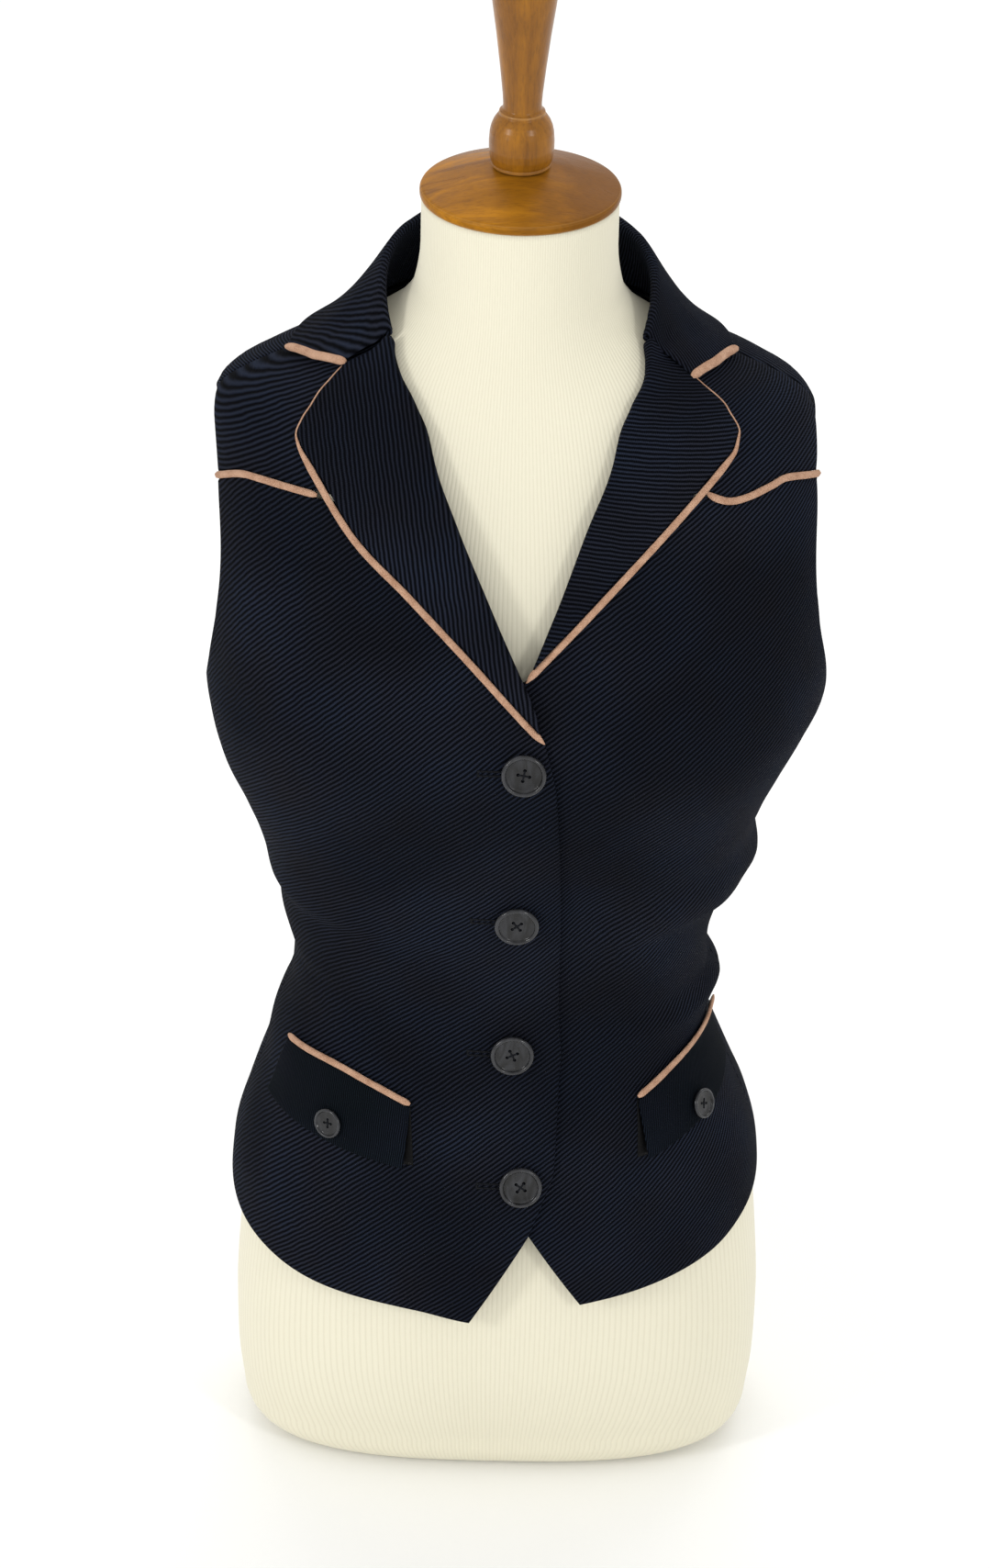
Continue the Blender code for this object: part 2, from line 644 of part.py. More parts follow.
def back_piece(name, side, side_hem, material):
    """Half of the back, from the centre seam to the side and shoulder seams."""
    centre = side * (math.pi - SEAM / 2 / NECK_RADIUS)
    nudge = SEAM / 2 / SHOULDER_RADIUS
    hole = armhole(side, back=True)
    shoulder_neck = (side * (math.pi / 2 + nudge), SHOULDER_NECK)
    side_seam = (hole[-1][0], float(side_hem))
    edges = [
        polyline([(centre, BACK_HEM), (centre, BACK_NECK)], BACK_STEP),
        curve([(centre, BACK_NECK), (side * 2.4, BACK_NECK + 1.5), shoulder_neck], BACK_STEP),
        polyline([shoulder_neck, hole[0]], BACK_STEP),
        curve(hole, PANEL_STEP),
        polyline([hole[-1], side_seam], BACK_STEP),
        curve([side_seam, (side * 2.3, (side_hem + BACK_HEM) / 2), (centre, BACK_HEM)], BACK_STEP),
    ]
    return panel(name, edges, material, BACK_STEP)


def lapel_outline(outline, step):
    """The lapel's piped edge in the pattern plane, with its corners kept."""
    corners = to_plane(fronts(outline))
    runs = [resample(corners[k:k + 2], step)[:-1] for k in range(3)]
    return np.vstack(runs + [spline(corners[3:], step)])


def lapel(name, roll, outline, lift, material):
    """The turned-back lapel, between its roll line and its piped edge."""
    roll_path = spline(to_plane(fronts(roll)), 1.0)
    edge_path = lapel_outline(outline, 1.0)
    rest = np.linspace(NOTCH_ROWS[-1], LAPEL_END, LAPEL_ROWS - len(NOTCH_ROWS) + 1)[1:]
    share = np.concatenate([NOTCH_ROWS, rest])
    outer, inner = [], []
    for part, a, b in zip(share, resample_at(roll_path, share), resample_at(edge_path, share)):
        run = b - a
        length = float(np.linalg.norm(run))
        tries = np.linspace(0, length, 120)
        clear = room(a + run / length * tries[:, None], edge_path) > PIPING_WIDTH / 2 + PIPED_SEAM
        clear &= tries < length - 1.0
        width = max(float(tries[clear].max()) if clear.any() else 0.0, 1.2)
        skirt = min(LAPEL_SKIRT, 0.5 * width)
        bend = min(LAPEL_SKIRT + 0.6, 0.7 * width)
        across = [0.0, skirt, bend] + [bend + (width - bend) * t / LAPEL_COLUMNS
                                       for t in range(1, LAPEL_COLUMNS + 1)]
        rise = ROLL_SWELL + ROLL_SWELL_TOP * max(0.0, 1 - part / 0.12)
        distance = np.array(across)
        phi, z = from_plane(a + run / length * distance[:, None])
        base = lift(phi, z)
        swell = rise * (1 - np.minimum(1.0, distance / max(24.0, 0.5 * width))) ** 2
        high = base + LAY + CLOTH + swell - (distance == 0.0)
        low = np.where(distance <= skirt, base - CLOTH + SEAM, high - CLOTH)
        outer.append(cloth(phi, z, high)[0])
        inner.append(cloth(phi, z, low)[0])
    return grid_wall(name, np.array(outer), np.array(inner), material)


def resample_at(path, share):
    length = np.concatenate([[0], np.cumsum(np.linalg.norm(np.diff(path, axis=0), axis=1))])
    return np.stack([np.interp(share * length[-1], length, path[:, k]) for k in range(path.shape[1])], -1)


def collar(material):
    """Stand and fall in one folded sheet round the back of the neck."""
    fold = columns(FOLD)
    half = spline(COLLAR_EDGE[2:], COLLAR_STEP)
    front_run = resample(np.array(COLLAR_EDGE[:3], float), COLLAR_STEP)
    half = np.vstack([front_run[:-1], half])
    count = len(half)
    length = np.concatenate([[0], np.cumsum(np.linalg.norm(np.diff(half, axis=0), axis=1))])
    start, end = FOLD[0][0], 180.0
    fold_angle = start + (end - start) * (length / length[-1])
    rows = []
    for k in range(count):
        angle = fold_angle[k]
        phi = math.radians(angle)
        radius, top = float(fold[0](angle)), float(fold[1](angle))
        neck = SHOULDER_NECK + (BACK_NECK - SHOULDER_NECK) * max(0.0, (angle - 90) / 90) ** 1.5
        neck -= 1.5 * max(0.0, (90 - angle) / 26)
        neck_r = float(vest_radius(phi, neck)) - CLOTH / 2
        edge_r = math.hypot(*half[k])
        edge_phi = math.atan2(half[k][0], -half[k][1])
        if edge_phi < 0:
            edge_phi += 2 * math.pi
        edge_z = surface_height(edge_phi, edge_r) + COLLAR_LIFT * (0.8 if k else 0.75)
        row = [(phi, neck_r, neck + 1.6), (phi, (neck_r + radius - FOLD_ROUND) / 2, (neck + top) / 2),
               (phi, radius - FOLD_ROUND, top - 2.6), (phi, radius, top), (phi, radius + FOLD_ROUND, top - 2.6)]
        for t in (0.22, 0.45, 0.7, 1.0):
            fall_phi = phi + (edge_phi - phi) * t
            fall_r = radius + FOLD_ROUND + (edge_r - radius - FOLD_ROUND) * t
            fall_z = top - 2.6 + (edge_z - top + 2.6) * t - COLLAR_SAG * math.sin(math.pi * t)
            floor = surface_height(fall_phi, fall_r) + COLLAR_LIFT * (0.8 + 0.3 * math.sin(math.pi * t))
            row.append((fall_phi, fall_r, max(fall_z, floor)))
        rows.append([(r * math.sin(p), -r * math.cos(p), z) for p, r, z in row])
    left = np.array(rows)
    right = left * np.array([-1, 1, 1])
    grid = np.concatenate([right, left[::-1][1:]])
    normal = grid_normals(grid)
    outward = normal * COLLAR_CLOTH / 2
    return grid_wall("collar", grid + outward, grid - outward, material), grid


def grid_normals(grid):
    down = np.gradient(grid, axis=0)
    over = np.gradient(grid, axis=1)
    normal = np.cross(down, over)
    return normal / np.linalg.norm(normal, axis=-1, keepdims=True)


def collar_pipings(grid, material):
    """The tan piping on the front edge of each collar point."""
    plan = np.hypot(grid[:, -1, 0], grid[:, -1, 1])
    half = len(grid) // 2
    corner = int(np.argmax(plan[:half]))
    for side, name in ((-1, "piping_collar_right"), (1, "piping_collar_left")):
        edge = grid[:corner + 1, -1].copy()
        inner = grid[:corner + 1, -2].copy()
        if side > 0:
            edge[:, 0] *= -1
            inner[:, 0] *= -1
        edge = resample(edge, 8.0)
        inner = resample(inner, np.linalg.norm(np.diff(inner, axis=0), axis=1).sum() / (len(edge) - 1))
        out = edge - inner[:len(edge)]
        run = np.gradient(edge, axis=0)
        run /= np.linalg.norm(run, axis=1, keepdims=True)
        out -= run * (out * run).sum(1, keepdims=True)
        out /= np.linalg.norm(out, axis=1, keepdims=True)
        centre = edge + out * (PIPING_WIDTH / 2 + PIPED_SEAM)
        along = np.gradient(centre, axis=0)
        normal = np.cross(along, out)
        normal *= np.sign(normal[:, 2:3])
        normal /= np.linalg.norm(normal, axis=1, keepdims=True)
        cord(name, centre, normal, material, PIPING_WIDTH, PIPING_HEIGHT)


def flap(name, side, pocket, material):
    """A pocket flap hanging from its piped edge."""
    phi_top = np.radians([row[0] for row in pocket])
    top = monotone(phi_top * side, [row[1] for row in pocket])
    low = monotone(phi_top * side, [row[2] for row in pocket])
    first, last = sorted((phi_top[0] * side, phi_top[-1] * side))
    count = 14
    rows = []
    drops = (0.0, 0.35, 0.7, 1.0)
    for t in np.linspace(0, 1, count):
        angle = first + (last - first) * t
        row = []
        for s in drops:
            spread = math.radians(FLAP_FLARE) * s * t
            upper = top(angle) - PIPING_WIDTH / 2 - PIPED_SEAM
            row.append((side * (angle + spread), float(upper + (low(angle) - upper) * s), s, t))
        rows.append(row)
    rows = np.array(rows)
    curl = FLAP_STANDS_OFF * rows[..., 2] ** 2 * np.clip(1 - rows[..., 3] / 0.5, 0, 1) ** 2
    level = LAY + FLAP_CLOTH + curl
    outer = cloth(rows[..., 0], rows[..., 1], level)[0]
    inner = cloth(rows[..., 0], rows[..., 1], level - FLAP_CLOTH)[0]
    return grid_wall(name, outer, inner, material)


def button(name, phi, z, level, diameter, material):
    """A dished four-hole button's disc with a raised rim, standing on its thread."""
    place, normal = cloth(np.array([phi]), np.array([z]), np.array([level + BUTTON_STANDOFF]))
    r = diameter / 2
    profile = ((0, 0), (0.75 * r, 0), (r, 1.8), (0.9 * r, 3.4), (0.66 * r, 2.3), (0, 2.2))
    return turned(name, profile, 16, material, origin=place[0], axis=normal[0])


def material(name, colour, roughness, metallic=0.0):
    mat = bpy.data.materials.new(name)
    mat.use_nodes = True
    shader = mat.node_tree.nodes["Principled BSDF"]
    shader.inputs["Base Color"].default_value = (*colour, 1)
    shader.inputs["Roughness"].default_value = roughness
    shader.inputs["Metallic"].default_value = metallic
    return mat


def build():
    twill = material("navy_twill", (0.006, 0.008, 0.014), 0.85)
    tan = material("tan_piping", (0.47, 0.27, 0.17), 0.9)
    jersey = material("cream_jersey", (0.87, 0.82, 0.69), 0.9)
    wood = material("turned_wood", (0.28, 0.11, 0.03), 0.4)
    horn = material("black_horn", (0.01, 0.01, 0.012), 0.2)

    dress_form(jersey)
    turned("neck_cap", CAP_PROFILE, 40, wood, origin=(0, 0, NECK_TOP))
    turned("neck_finial", FINIAL_PROFILE, 20, wood, origin=(0, 0, NECK_TOP))

    back_piece("back_right", -1, RIGHT_SIDE_HEM, twill)
    back_piece("back_left", 1, LEFT_SIDE_HEM, twill)
    front_piece("front_right", -1, RIGHT_ROLL, RIGHT_YOKE, RIGHT_EDGE, RIGHT_HEM, RIGHT_SIDE_HEM,
                rise_over, twill)
    front_piece("front_left", 1, LEFT_ROLL, LEFT_YOKE, LEFT_EDGE, LEFT_HEM, LEFT_SIDE_HEM,
                flat_lift, twill)
    yoke_piece("yoke_right", -1, RIGHT_ROLL, RIGHT_YOKE, twill)
    yoke_piece("yoke_left", 1, LEFT_ROLL, LEFT_YOKE, twill)
    lapel("lapel_right", RIGHT_ROLL, RIGHT_LAPEL, rise_over, twill)
    lapel("lapel_left", LEFT_ROLL, LEFT_LAPEL, flat_lift, twill)
    grid = collar(twill)[1]
    flap("pocket_flap_right", -1, RIGHT_POCKET, twill)
    flap("pocket_flap_left", 1, LEFT_POCKET, twill)

    over_panel = LAY + PIPING_HEIGHT / 2
    for name, outline, lift in (("piping_lapel_right", RIGHT_LAPEL, rise_over),
                                ("piping_lapel_left", LEFT_LAPEL, flat_lift)):
        piping(name, lapel_outline(outline, PIPING_STEP)[1:], tan,
               lambda phi, z, lift=lift: lift(phi, z) + over_panel)
    collar_pipings(grid, tan)
    for name, seam, side in (("piping_yoke_right", RIGHT_YOKE, -1), ("piping_yoke_left", LEFT_YOKE, 1)):
        path = seam_edge(side, seam, 0.0, PIPING_STEP)
        path[0] += (path[1] - path[0]) * YOKE_PIPING_START
        piping(name, path, tan, flat_lift, SEAM_PIPING_HEIGHT)
    for name, pocket in (("piping_pocket_right", RIGHT_POCKET), ("piping_pocket_left", LEFT_POCKET)):
        path = curve([(math.radians(angle), top) for angle, top, _ in pocket], PIPING_STEP)
        piping(name, path, tan, lambda phi, z: 0 * phi + over_panel)

    for number, (x, z) in enumerate(FRONT_BUTTONS, 1):
        phi, height = front(x, z)
        button(f"button_{number}", phi, height, RISE, BUTTON_DIAMETER, horn)
    for name, (angle, z) in (("flap_button_right", RIGHT_FLAP_BUTTON), ("flap_button_left", LEFT_FLAP_BUTTON)):
        button(name, math.radians(angle), z, LAY + FLAP_CLOTH, FLAP_BUTTON_DIAMETER, horn)


for old in list(bpy.data.objects):
    bpy.data.objects.remove(old)
STAND = bpy.data.objects.new("ranch_vest", None)
bpy.context.scene.collection.objects.link(STAND)
STAND.location = (-CENTRE_X * MM, -CENTRE_Y * MM, 0)
build()
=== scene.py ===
"""The looks of a ranch vest on a limbless dress form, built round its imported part.

Every cloth piece is a fine wall on the same garment surface as the part's solids: a
stack of rounded rings, where a place is an angle round the body (0 at the front,
negative towards the wearer's right) and a height. Sizes are millimetres in the tables
and metres in the scene. The front faces -Y.
"""
import math
from collections import namedtuple

import bmesh
import bpy
import numpy as np
from mathutils import Matrix, Vector
from mathutils.geometry import delaunay_2d_cdt


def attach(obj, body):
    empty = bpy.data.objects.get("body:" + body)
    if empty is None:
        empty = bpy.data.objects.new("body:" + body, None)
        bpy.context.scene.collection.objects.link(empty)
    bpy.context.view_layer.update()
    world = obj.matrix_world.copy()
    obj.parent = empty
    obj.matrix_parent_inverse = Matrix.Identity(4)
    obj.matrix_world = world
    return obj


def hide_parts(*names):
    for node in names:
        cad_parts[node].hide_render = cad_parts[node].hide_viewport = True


bl_info = {
    "name": "Ranch vest on a dress form",
    "version": (1, 0, 0),
    "blender": (4, 5, 0),
    "location": "3D View > Sidebar > Ranch vest",
    "description": "Builds the cloth, trim, buttons, form and stage of a piped ranch vest",
    "category": "Object",
}

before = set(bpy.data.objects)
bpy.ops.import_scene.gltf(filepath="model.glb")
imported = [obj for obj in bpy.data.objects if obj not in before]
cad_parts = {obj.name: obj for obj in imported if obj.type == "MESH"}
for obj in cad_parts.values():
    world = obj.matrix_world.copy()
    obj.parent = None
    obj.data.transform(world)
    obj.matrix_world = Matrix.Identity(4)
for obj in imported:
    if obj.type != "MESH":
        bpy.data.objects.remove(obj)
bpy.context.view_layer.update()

MM = 0.001
CENTRE_X = 3.3          # middle of the whole object's box in the garment's own frame
CENTRE_Y = -12.5

# Cloth and clearances, as in the part
CLOTH = 2.0
FLAP_CLOTH = 1.6
COLLAR_CLOTH = 1.8
LAY = 0.9
PIPING_WIDTH = 4.6
PIPING_HEIGHT = 2.8
SEAM_PIPING_HEIGHT = 3.2
SEAM_TUCK = 0.4 * PIPING_WIDTH      # both cloths run in under the yoke seam's piping
BUTTON_DIAMETER = 25.0
FLAP_BUTTON_DIAMETER = 18.0
BUTTON_STANDOFF = 0.6
CAP_RADIUS = 55.0
NECK_TOP = 812.0
BASE_ROUND = 30.0

# How finely the shells are divided
CLOTH_STEP = 3.6        # triangle size of the front pieces
BACK_STEP = 4.6
EDGE_STEP = 2.4         # along piped edges
CORD_STEP = 1.6
LAPEL_ROWS, LAPEL_COLUMNS = 110, 26
COLLAR_ROWS_STEP, COLLAR_COLUMNS = 2.2, 44
FLAP_COLUMNS, FLAP_ROWS = 46, 18
FORM_SEGMENTS, LATHE_SEGMENTS = 160, 128
BUTTON_SEGMENTS, HOLE_SEGMENTS = 72, 14
BUTTON_RINGS = (0.12, 0.26, 0.38, 0.5, 0.6, 0.68, 0.72, 0.74, 0.755, 0.775, 0.79, 0.805, 0.82, 0.84,
                0.86, 0.89, 0.92, 0.945, 0.965, 0.985)
RIM = 0.9               # width of the rounded rim of a cut edge
RIM_ROUND = 0.6         # and the share of the cloth's thickness that it loses

# The form: height, half width, front depth, back depth, roundness of the ring
FORM = (
    (30, 155, 87, 88, 2.9),
    (60, 158, 98, 97, 2.8),
    (95, 158.5, 106, 103, 2.65),
    (140, 156, 109, 107, 2.5),
    (185, 151, 107, 106, 2.4),
    (225, 142, 102, 100, 2.35),
    (260, 127, 97, 93, 2.3),
    (280, 119, 94, 88, 2.25),
    (300, 113.5, 91, 84, 2.2),
    (335, 111, 88, 79, 2.2),
    (375, 114, 90, 79, 2.2),
    (420, 126, 99, 86, 2.25),
    (470, 145, 113, 94, 2.3),
    (520, 161, 120, 102, 2.35),
    (560, 164, 115, 105, 2.4),
    (600, 164, 105, 104, 2.4),
    (640, 163, 91, 99, 2.35),
    (665, 161.5, 82, 92, 2.3),
    (680, 159, 77, 87, 2.25),
    (690, 157, 74, 83, 2.2),
    (698, 152.5, 71.5, 80, 2.15),
    (703, 148, 70, 78, 2.1),
    (709, 139, 68, 75, 2.1),
    (715, 126, 66, 72, 2.05),
    (722, 110, 64, 69.5, 2.05),
    (729.5, 94, 61.5, 66, 2.0),
    (737, 80, 59, 62, 2.0),
    (746, 67, 57, 58.5, 2.0),
    (760, 57.5, 55, 55.5, 2.0),
    (785, 54, 54, 54, 2.0),
    (812, 54, 54, 54, 2.0),
)

# The worn cloth: height, half width on the wearer's right, on the wearer's left,
# front depth, back depth, roundness
VEST = (
    (120, 160, 155, 119.5, 117, 2.5),
    (165, 162, 156.5, 119, 117, 2.45),
    (195, 160, 155, 117, 115, 2.4),
    (225, 152, 148, 112.5, 109, 2.35),
    (245, 146, 140, 109, 105, 2.3),
    (262, 140.5, 133, 106.5, 101, 2.3),
    (280, 137, 126, 104, 98, 2.25),
    (296, 132, 121.5, 101.5, 94, 2.2),
    (308, 127, 123.5, 100, 92, 2.2),
    (320, 124, 127, 99.5, 90, 2.2),
    (336, 123.5, 119, 99, 88, 2.2),
    (352, 128, 120.5, 100, 88, 2.2),
    (368, 130.5, 123.5, 102.5, 89, 2.2),
    (385, 132, 128, 106, 90.5, 2.2),
    (398, 139, 141, 109.5, 92.5, 2.25),
    (412, 142, 145.5, 113, 94.5, 2.25),
    (428, 146, 143, 117, 96.5, 2.25),
    (450, 154, 149, 122, 99.5, 2.3),
    (475, 165, 160, 128, 104, 2.3),
    (500, 171, 172, 132, 108.5, 2.3),
    (522, 173.5, 180.5, 133, 111.5, 2.3),
    (545, 173, 182, 131, 113, 2.35),
    (570, 171, 180, 125, 113, 2.4),
    (600, 170, 178, 114.5, 111, 2.4),
    (640, 170, 176.5, 99, 105.5, 2.35),
    (665, 169.5, 173.5, 89.5, 98.5, 2.3),
    (682, 169, 169, 83, 92, 2.25),
    (693, 166.5, 164.5, 78.5, 87, 2.2),
    (701, 159.5, 158.5, 74.5, 82.5, 2.15),
    (706.4, 151, 150.5, 72, 79.5, 2.1),
    (712.4, 140, 140, 70, 76.5, 2.1),
    (718.4, 127, 127, 68, 73.5, 2.05),
    (725.4, 111, 111, 66, 71, 2.05),
    (732.9, 95, 95, 63.5, 67.5, 2.0),
    (740.4, 82, 82, 61.5, 64.5, 2.0),
    (749.4, 71, 71, 60, 62, 2.0),
    (760, 64, 64, 59, 60, 2.0),
)

CUP_ANGLE, CUP_HEIGHT, CUP_ROUND, CUP_UP = 36.0, 516.0, 19.0, 40.0
FORM_CUP, VEST_CUP = 5.0, 6.0

# Each side's pattern, seen from the front. Points are x and height, except for the pocket (angle,
# height of its piped upper edge and of its lower edge), the flap's button (angle, height) and the
# collar (its outline in plan). The tip is where the lapel's piping ends under the other front.
Side = namedtuple("Side", "name sign roll lapel tip lapel_ribs yoke edge hem side_hem pocket "
                  "flap_button collar")
RIGHT = Side(
    name="right",
    sign=-1,
    roll=((-66.5, 738), (-59, 723), (-44.4, 692), (-30.2, 656), (-13, 619), (7.9, 576), (18, 551)),
    lapel=((-93.1, 725.3), (-114.5, 702.5), (-119.3, 693.6), (-116.6, 686.6), (-87.1, 645.8),
           (-53.9, 616.6), (-18.2, 583.2), (19.5, 545.5)),
    tip=(),
    lapel_ribs=98.0,
    yoke=((-165.5, 652), (-152, 663), (-141, 665.4), (-124, 665.5), (-107.5, 664.6)),
    edge=((19.5, 545.5), (26.3, 517.5), (31.2, 422), (33.7, 318.5), (31.2, 242.5), (17.2, 203),
          (-16.1, 143.5)),
    hem=((-16.1, 143.5), (-57.9, 149.6), (-109.4, 155.1), (-142.2, 164.5)),
    side_hem=184,
    pocket=((-28, 283, 243), (-40, 290.3, 245), (-53, 294.9, 248.5), (-70.5, 293, 253)),
    flap_button=(-49.8, 259),
    collar=((92.5, -37), (110, -23.5), (126, -5), (120, 17), (106, 39), (84, 58), (46, 75), (0, 82)),
)
LEFT = Side(
    name="left",
    sign=1,
    roll=((69, 738), (64, 719), (53.5, 690.5), (39, 653), (23, 611), (10.5, 581)),
    lapel=((93.5, 724.4), (113.3, 709.9), (121.5, 698.3), (119.2, 689), (83, 652.2), (50.4, 619.8),
           (30, 599.5), (14, 583.5)),
    tip=((8.6, 577.4),),
    lapel_ribs=-3.0,
    yoke=((169.5, 661), (151, 669), (141, 667.8), (128, 665), (118, 664.5), (109.5, 667.5),
          (105, 670.6)),
    edge=((5.5, 576.5), (-12, 548), (-12, 300), (-12, 262), (17.2, 203), (49, 154.4)),
    hem=((49, 154.4), (87.2, 161), (127.5, 171), (147, 181)),
    side_hem=192,
    pocket=((42.6, 282.7, 245), (52, 289.5, 250), (60, 294.5, 254), (84, 307, 266)),
    flap_button=(62.4, 262),
    collar=((94, -41), (107, -24.5), (119.5, -1.5), (115.5, 18), (104, 39.5), (84, 58), (46, 75),
            (0, 82)),
)
SIDES = (RIGHT, LEFT)
BACK_HEM = 188

# Front armhole, from the shoulder down: angle, height
ARMHOLE_AT_SEAM = 79.3
ARMHOLE = ((90, 696), (84, 681), (79, 655), (75.5, 605), (77.5, 555), (83, 525), (90, 514))
YOKE_UNDER_LAPEL = 663.0
SHOULDER_NECK = 740.0
BACK_NECK = 733.0
JOIN_SPACE, SEAM_SPACE = 8.0, 10.0      # an outline's own points keep this far from where pieces join
BACK_NECK_BEND = (2.4, 1.5)             # angle, and height over the middle of the back's neck
BACK_HEM_BEND = 2.3
SHOULDER_LOW, SHOULDER_HIGH = 640.0, 758.0
FRONT_ENDS = 89.5                       # the front ends at this angle

# Flap pockets
FLAP_FLARE = 3.0        # degrees by which a flap widens to its lower edge
FLAP_STANDS_OFF = 3.0   # at its inner lower corner
GAP_WIDTH, GAP_UNDER = 5.0, 6.0         # of the painted shade in the gap, beside the flap and under it
GAP_LIFT, GAP_FLOOR, GAP_RISE = 0.3, 0.05, 1.0
# Near-black colour of the painted shade in each pocket flap's gap
POCKET_SHADE_PAINT = "#030304"

# Front buttons: x, height
FRONT_BUTTONS = ((8.5, 527.4), (6.5, 421.4), (5.7, 321.3), (12.2, 236.2))
BUTTON_TURNS = (80, 38, 25, 55)
BUTTON_TILTS = (4, 9, 2, 2)
# A button 25 mm across: its top and its underside, as share of the radius and height
BUTTON_SECTION = ((0, 1.75), (0.5, 1.8), (0.68, 2.0), (0.735, 2.1), (0.755, 1.9), (0.79, 2.3),
                  (0.82, 3.1), (0.86, 3.5), (0.92, 3.5), (0.965, 3.1), (1.0, 2.2))
BUTTON_UNDER = ((0, 0), (0.7, 0), (0.9, 0.55), (1.0, 1.7))
HOLE_SPREAD = 0.128                     # from the middle to a hole, as share of the diameter
HOLE_LIP = 0.25
SHARP_ANGLE = 50
THREAD = 0.42
# A strand through two holes: share of the way across, share of the button's height, and rise
STRAND = ((0.0, 0.5, 0.0), (0.05, 1.0, -0.1), (0.22, 1.0, 0.22), (0.5, 1.0, 0.3), (0.78, 1.0, 0.22),
          (0.95, 1.0, -0.1), (1.0, 0.5, 0.0))
STRANDS_APART = 0.62                    # as share of the thread's thickness
STRAND_STEP, STITCH_STEP = 0.35, 0.4
HOLE_LENGTH, HOLE_WIDTH = 25.0, 2.2     # of a buttonhole
HOLE_OFF_BUTTON = (1.0, -0.5)
STITCH_LENGTH, STITCH_WIDTH, STITCH_LIFT = 1.35, 0.7, 0.15

# Lapels
LAPEL_SKIRT = 2.4
ROLL_CLEARANCE = 1.8
LAPEL_END = 0.985
ROLL_SWELL, ROLL_FADE = 2.2, 24.0       # the roll swells by this and flattens over that
ROLL_SWELL_TOP, ROLL_TOP = 2.2, 0.12    # and by this more over the top share of its length
ROLL_STEPS = 7
LAPEL_LEAST = 1.2                       # width of a lapel's row where it narrows to its end
LAPEL_END_STEP = 0.006
RISE_FROM, RISE_TO = -48.0, -16.0
RISE = CLOTH + LAY
LAPEL_TOP = (1.012, 3.0)                # the roll's top runs on, further out by a share, and up
THIN_PIPING = 0.2                       # share of its width where it wraps the notch's edge,
LAPEL_PIPING = 0.88                     # where it is full,
SEAM_PIPING, COLLAR_PIPING = 0.9, 1.15  # on yoke seams and pockets, and on the collar
PIPING_UNEVEN = 0.03
SEAM_PIPING_LIFT = 0.3
NOTCH_GAP = 3.0                         # from the notch to where the lapel's piping starts

# Rise of the twill's ribs across a part, in degrees. That of fronts and backs is a setting.
YOKE_RIBS, FLAP_RIBS, COLLAR_RIBS = 38.0, 84.0, 60.0

# Collar: angle from the front, radius and height of its fold
FOLD = ((64.8, 78, 745.5), (75, 77, 756), (90, 75, 767), (112, 73, 775), (140, 72, 779),
        (180, 72, 780))
COLLAR_SAG = 7.0
COLLAR_LIFT = 5.0
COLLAR_RADIUS = 92.0
COLLAR_FRONT_DROP, COLLAR_FRONT_ANGLE = 3.8, 26     # of the stand, from the side to its front end
STAND_FOOT = 1.6
FOLD_ROUND, FOLD_DROP = 2.4, 2.6
FALL_SHARES = (0.22, 0.45, 0.7, 1.0)

# Creases of the worn cloth: from angle and height, to angle and height, width, rise
CREASES = (
    (90, 318, 40, 372, 10, 1.5),
    (92, 342, 34, 402, 10, -1.5),
    (90, 402, 44, 446, 11, 1.2),
    (92, 378, 48, 424, 9, -1.1),
    (88, 300, 50, 338, 10, -1.2),
    (16, 458, 37, 388, 13, -1.3),
    (22, 388, 31, 352, 14, 0.9),
    (14, 226, 27, 237, 9, -1.1),
    (60, 232, 88, 214, 16, 0.9),
    (24, 480, 60, 452, 16, -0.7),
    (-92, 342, -52, 384, 10, -1.2),
    (-90, 370, -46, 424, 12, 1.1),
    (-92, 398, -58, 448, 12, -0.8),
    (-88, 312, -60, 336, 11, 0.9),
    (-30, 470, -14, 400, 15, -0.7),
    (-20, 196, -62, 214, 18, -0.8),
    (-74, 232, -92, 208, 16, 0.8),
    (-76, 560, -58, 520, 14, -0.9),
    (77, 585, 60, 530, 15, -0.9),
    (178, 356, 118, 338, 11, -1.1),
    (184, 372, 240, 350, 12, -1.2),
    (176, 332, 128, 318, 10, 0.9),
    (182, 342, 236, 326, 10, 0.9),
    (150, 420, 108, 396, 14, -0.9),
    (206, 430, 252, 398, 14, -0.8),
    (122, 560, 140, 640, 16, -0.8),
    (236, 566, 222, 636, 15, -0.7),
    (196, 236, 228, 214, 17, 0.8),
    (150, 226, 128, 206, 17, 0.7),
)
CREASE_RADIUS = 125.0       # turns an angle into a distance round the waist
CREASE_BOW = 0.06           # a crease bows by this share of its length,
CREASE_PEAK, CREASE_REACH = 0.4, 0.75       # is highest here along it and fades out this far off
RIPPLE = 0.25               # of the cloth between the creases

# Where the pull of the waist bends the ribs: angle, height, width and height of the place, shift
WEAVE_DRIFTS = ((24, 425, 16, 48, -11.0), (44, 372, 14, 30, 7.0), (-34, 430, 18, 50, 5.0),
                (-62, 372, 16, 34, -6.0), (150, 400, 22, 50, -6.0), (-150, 410, 20, 45, 5.0))

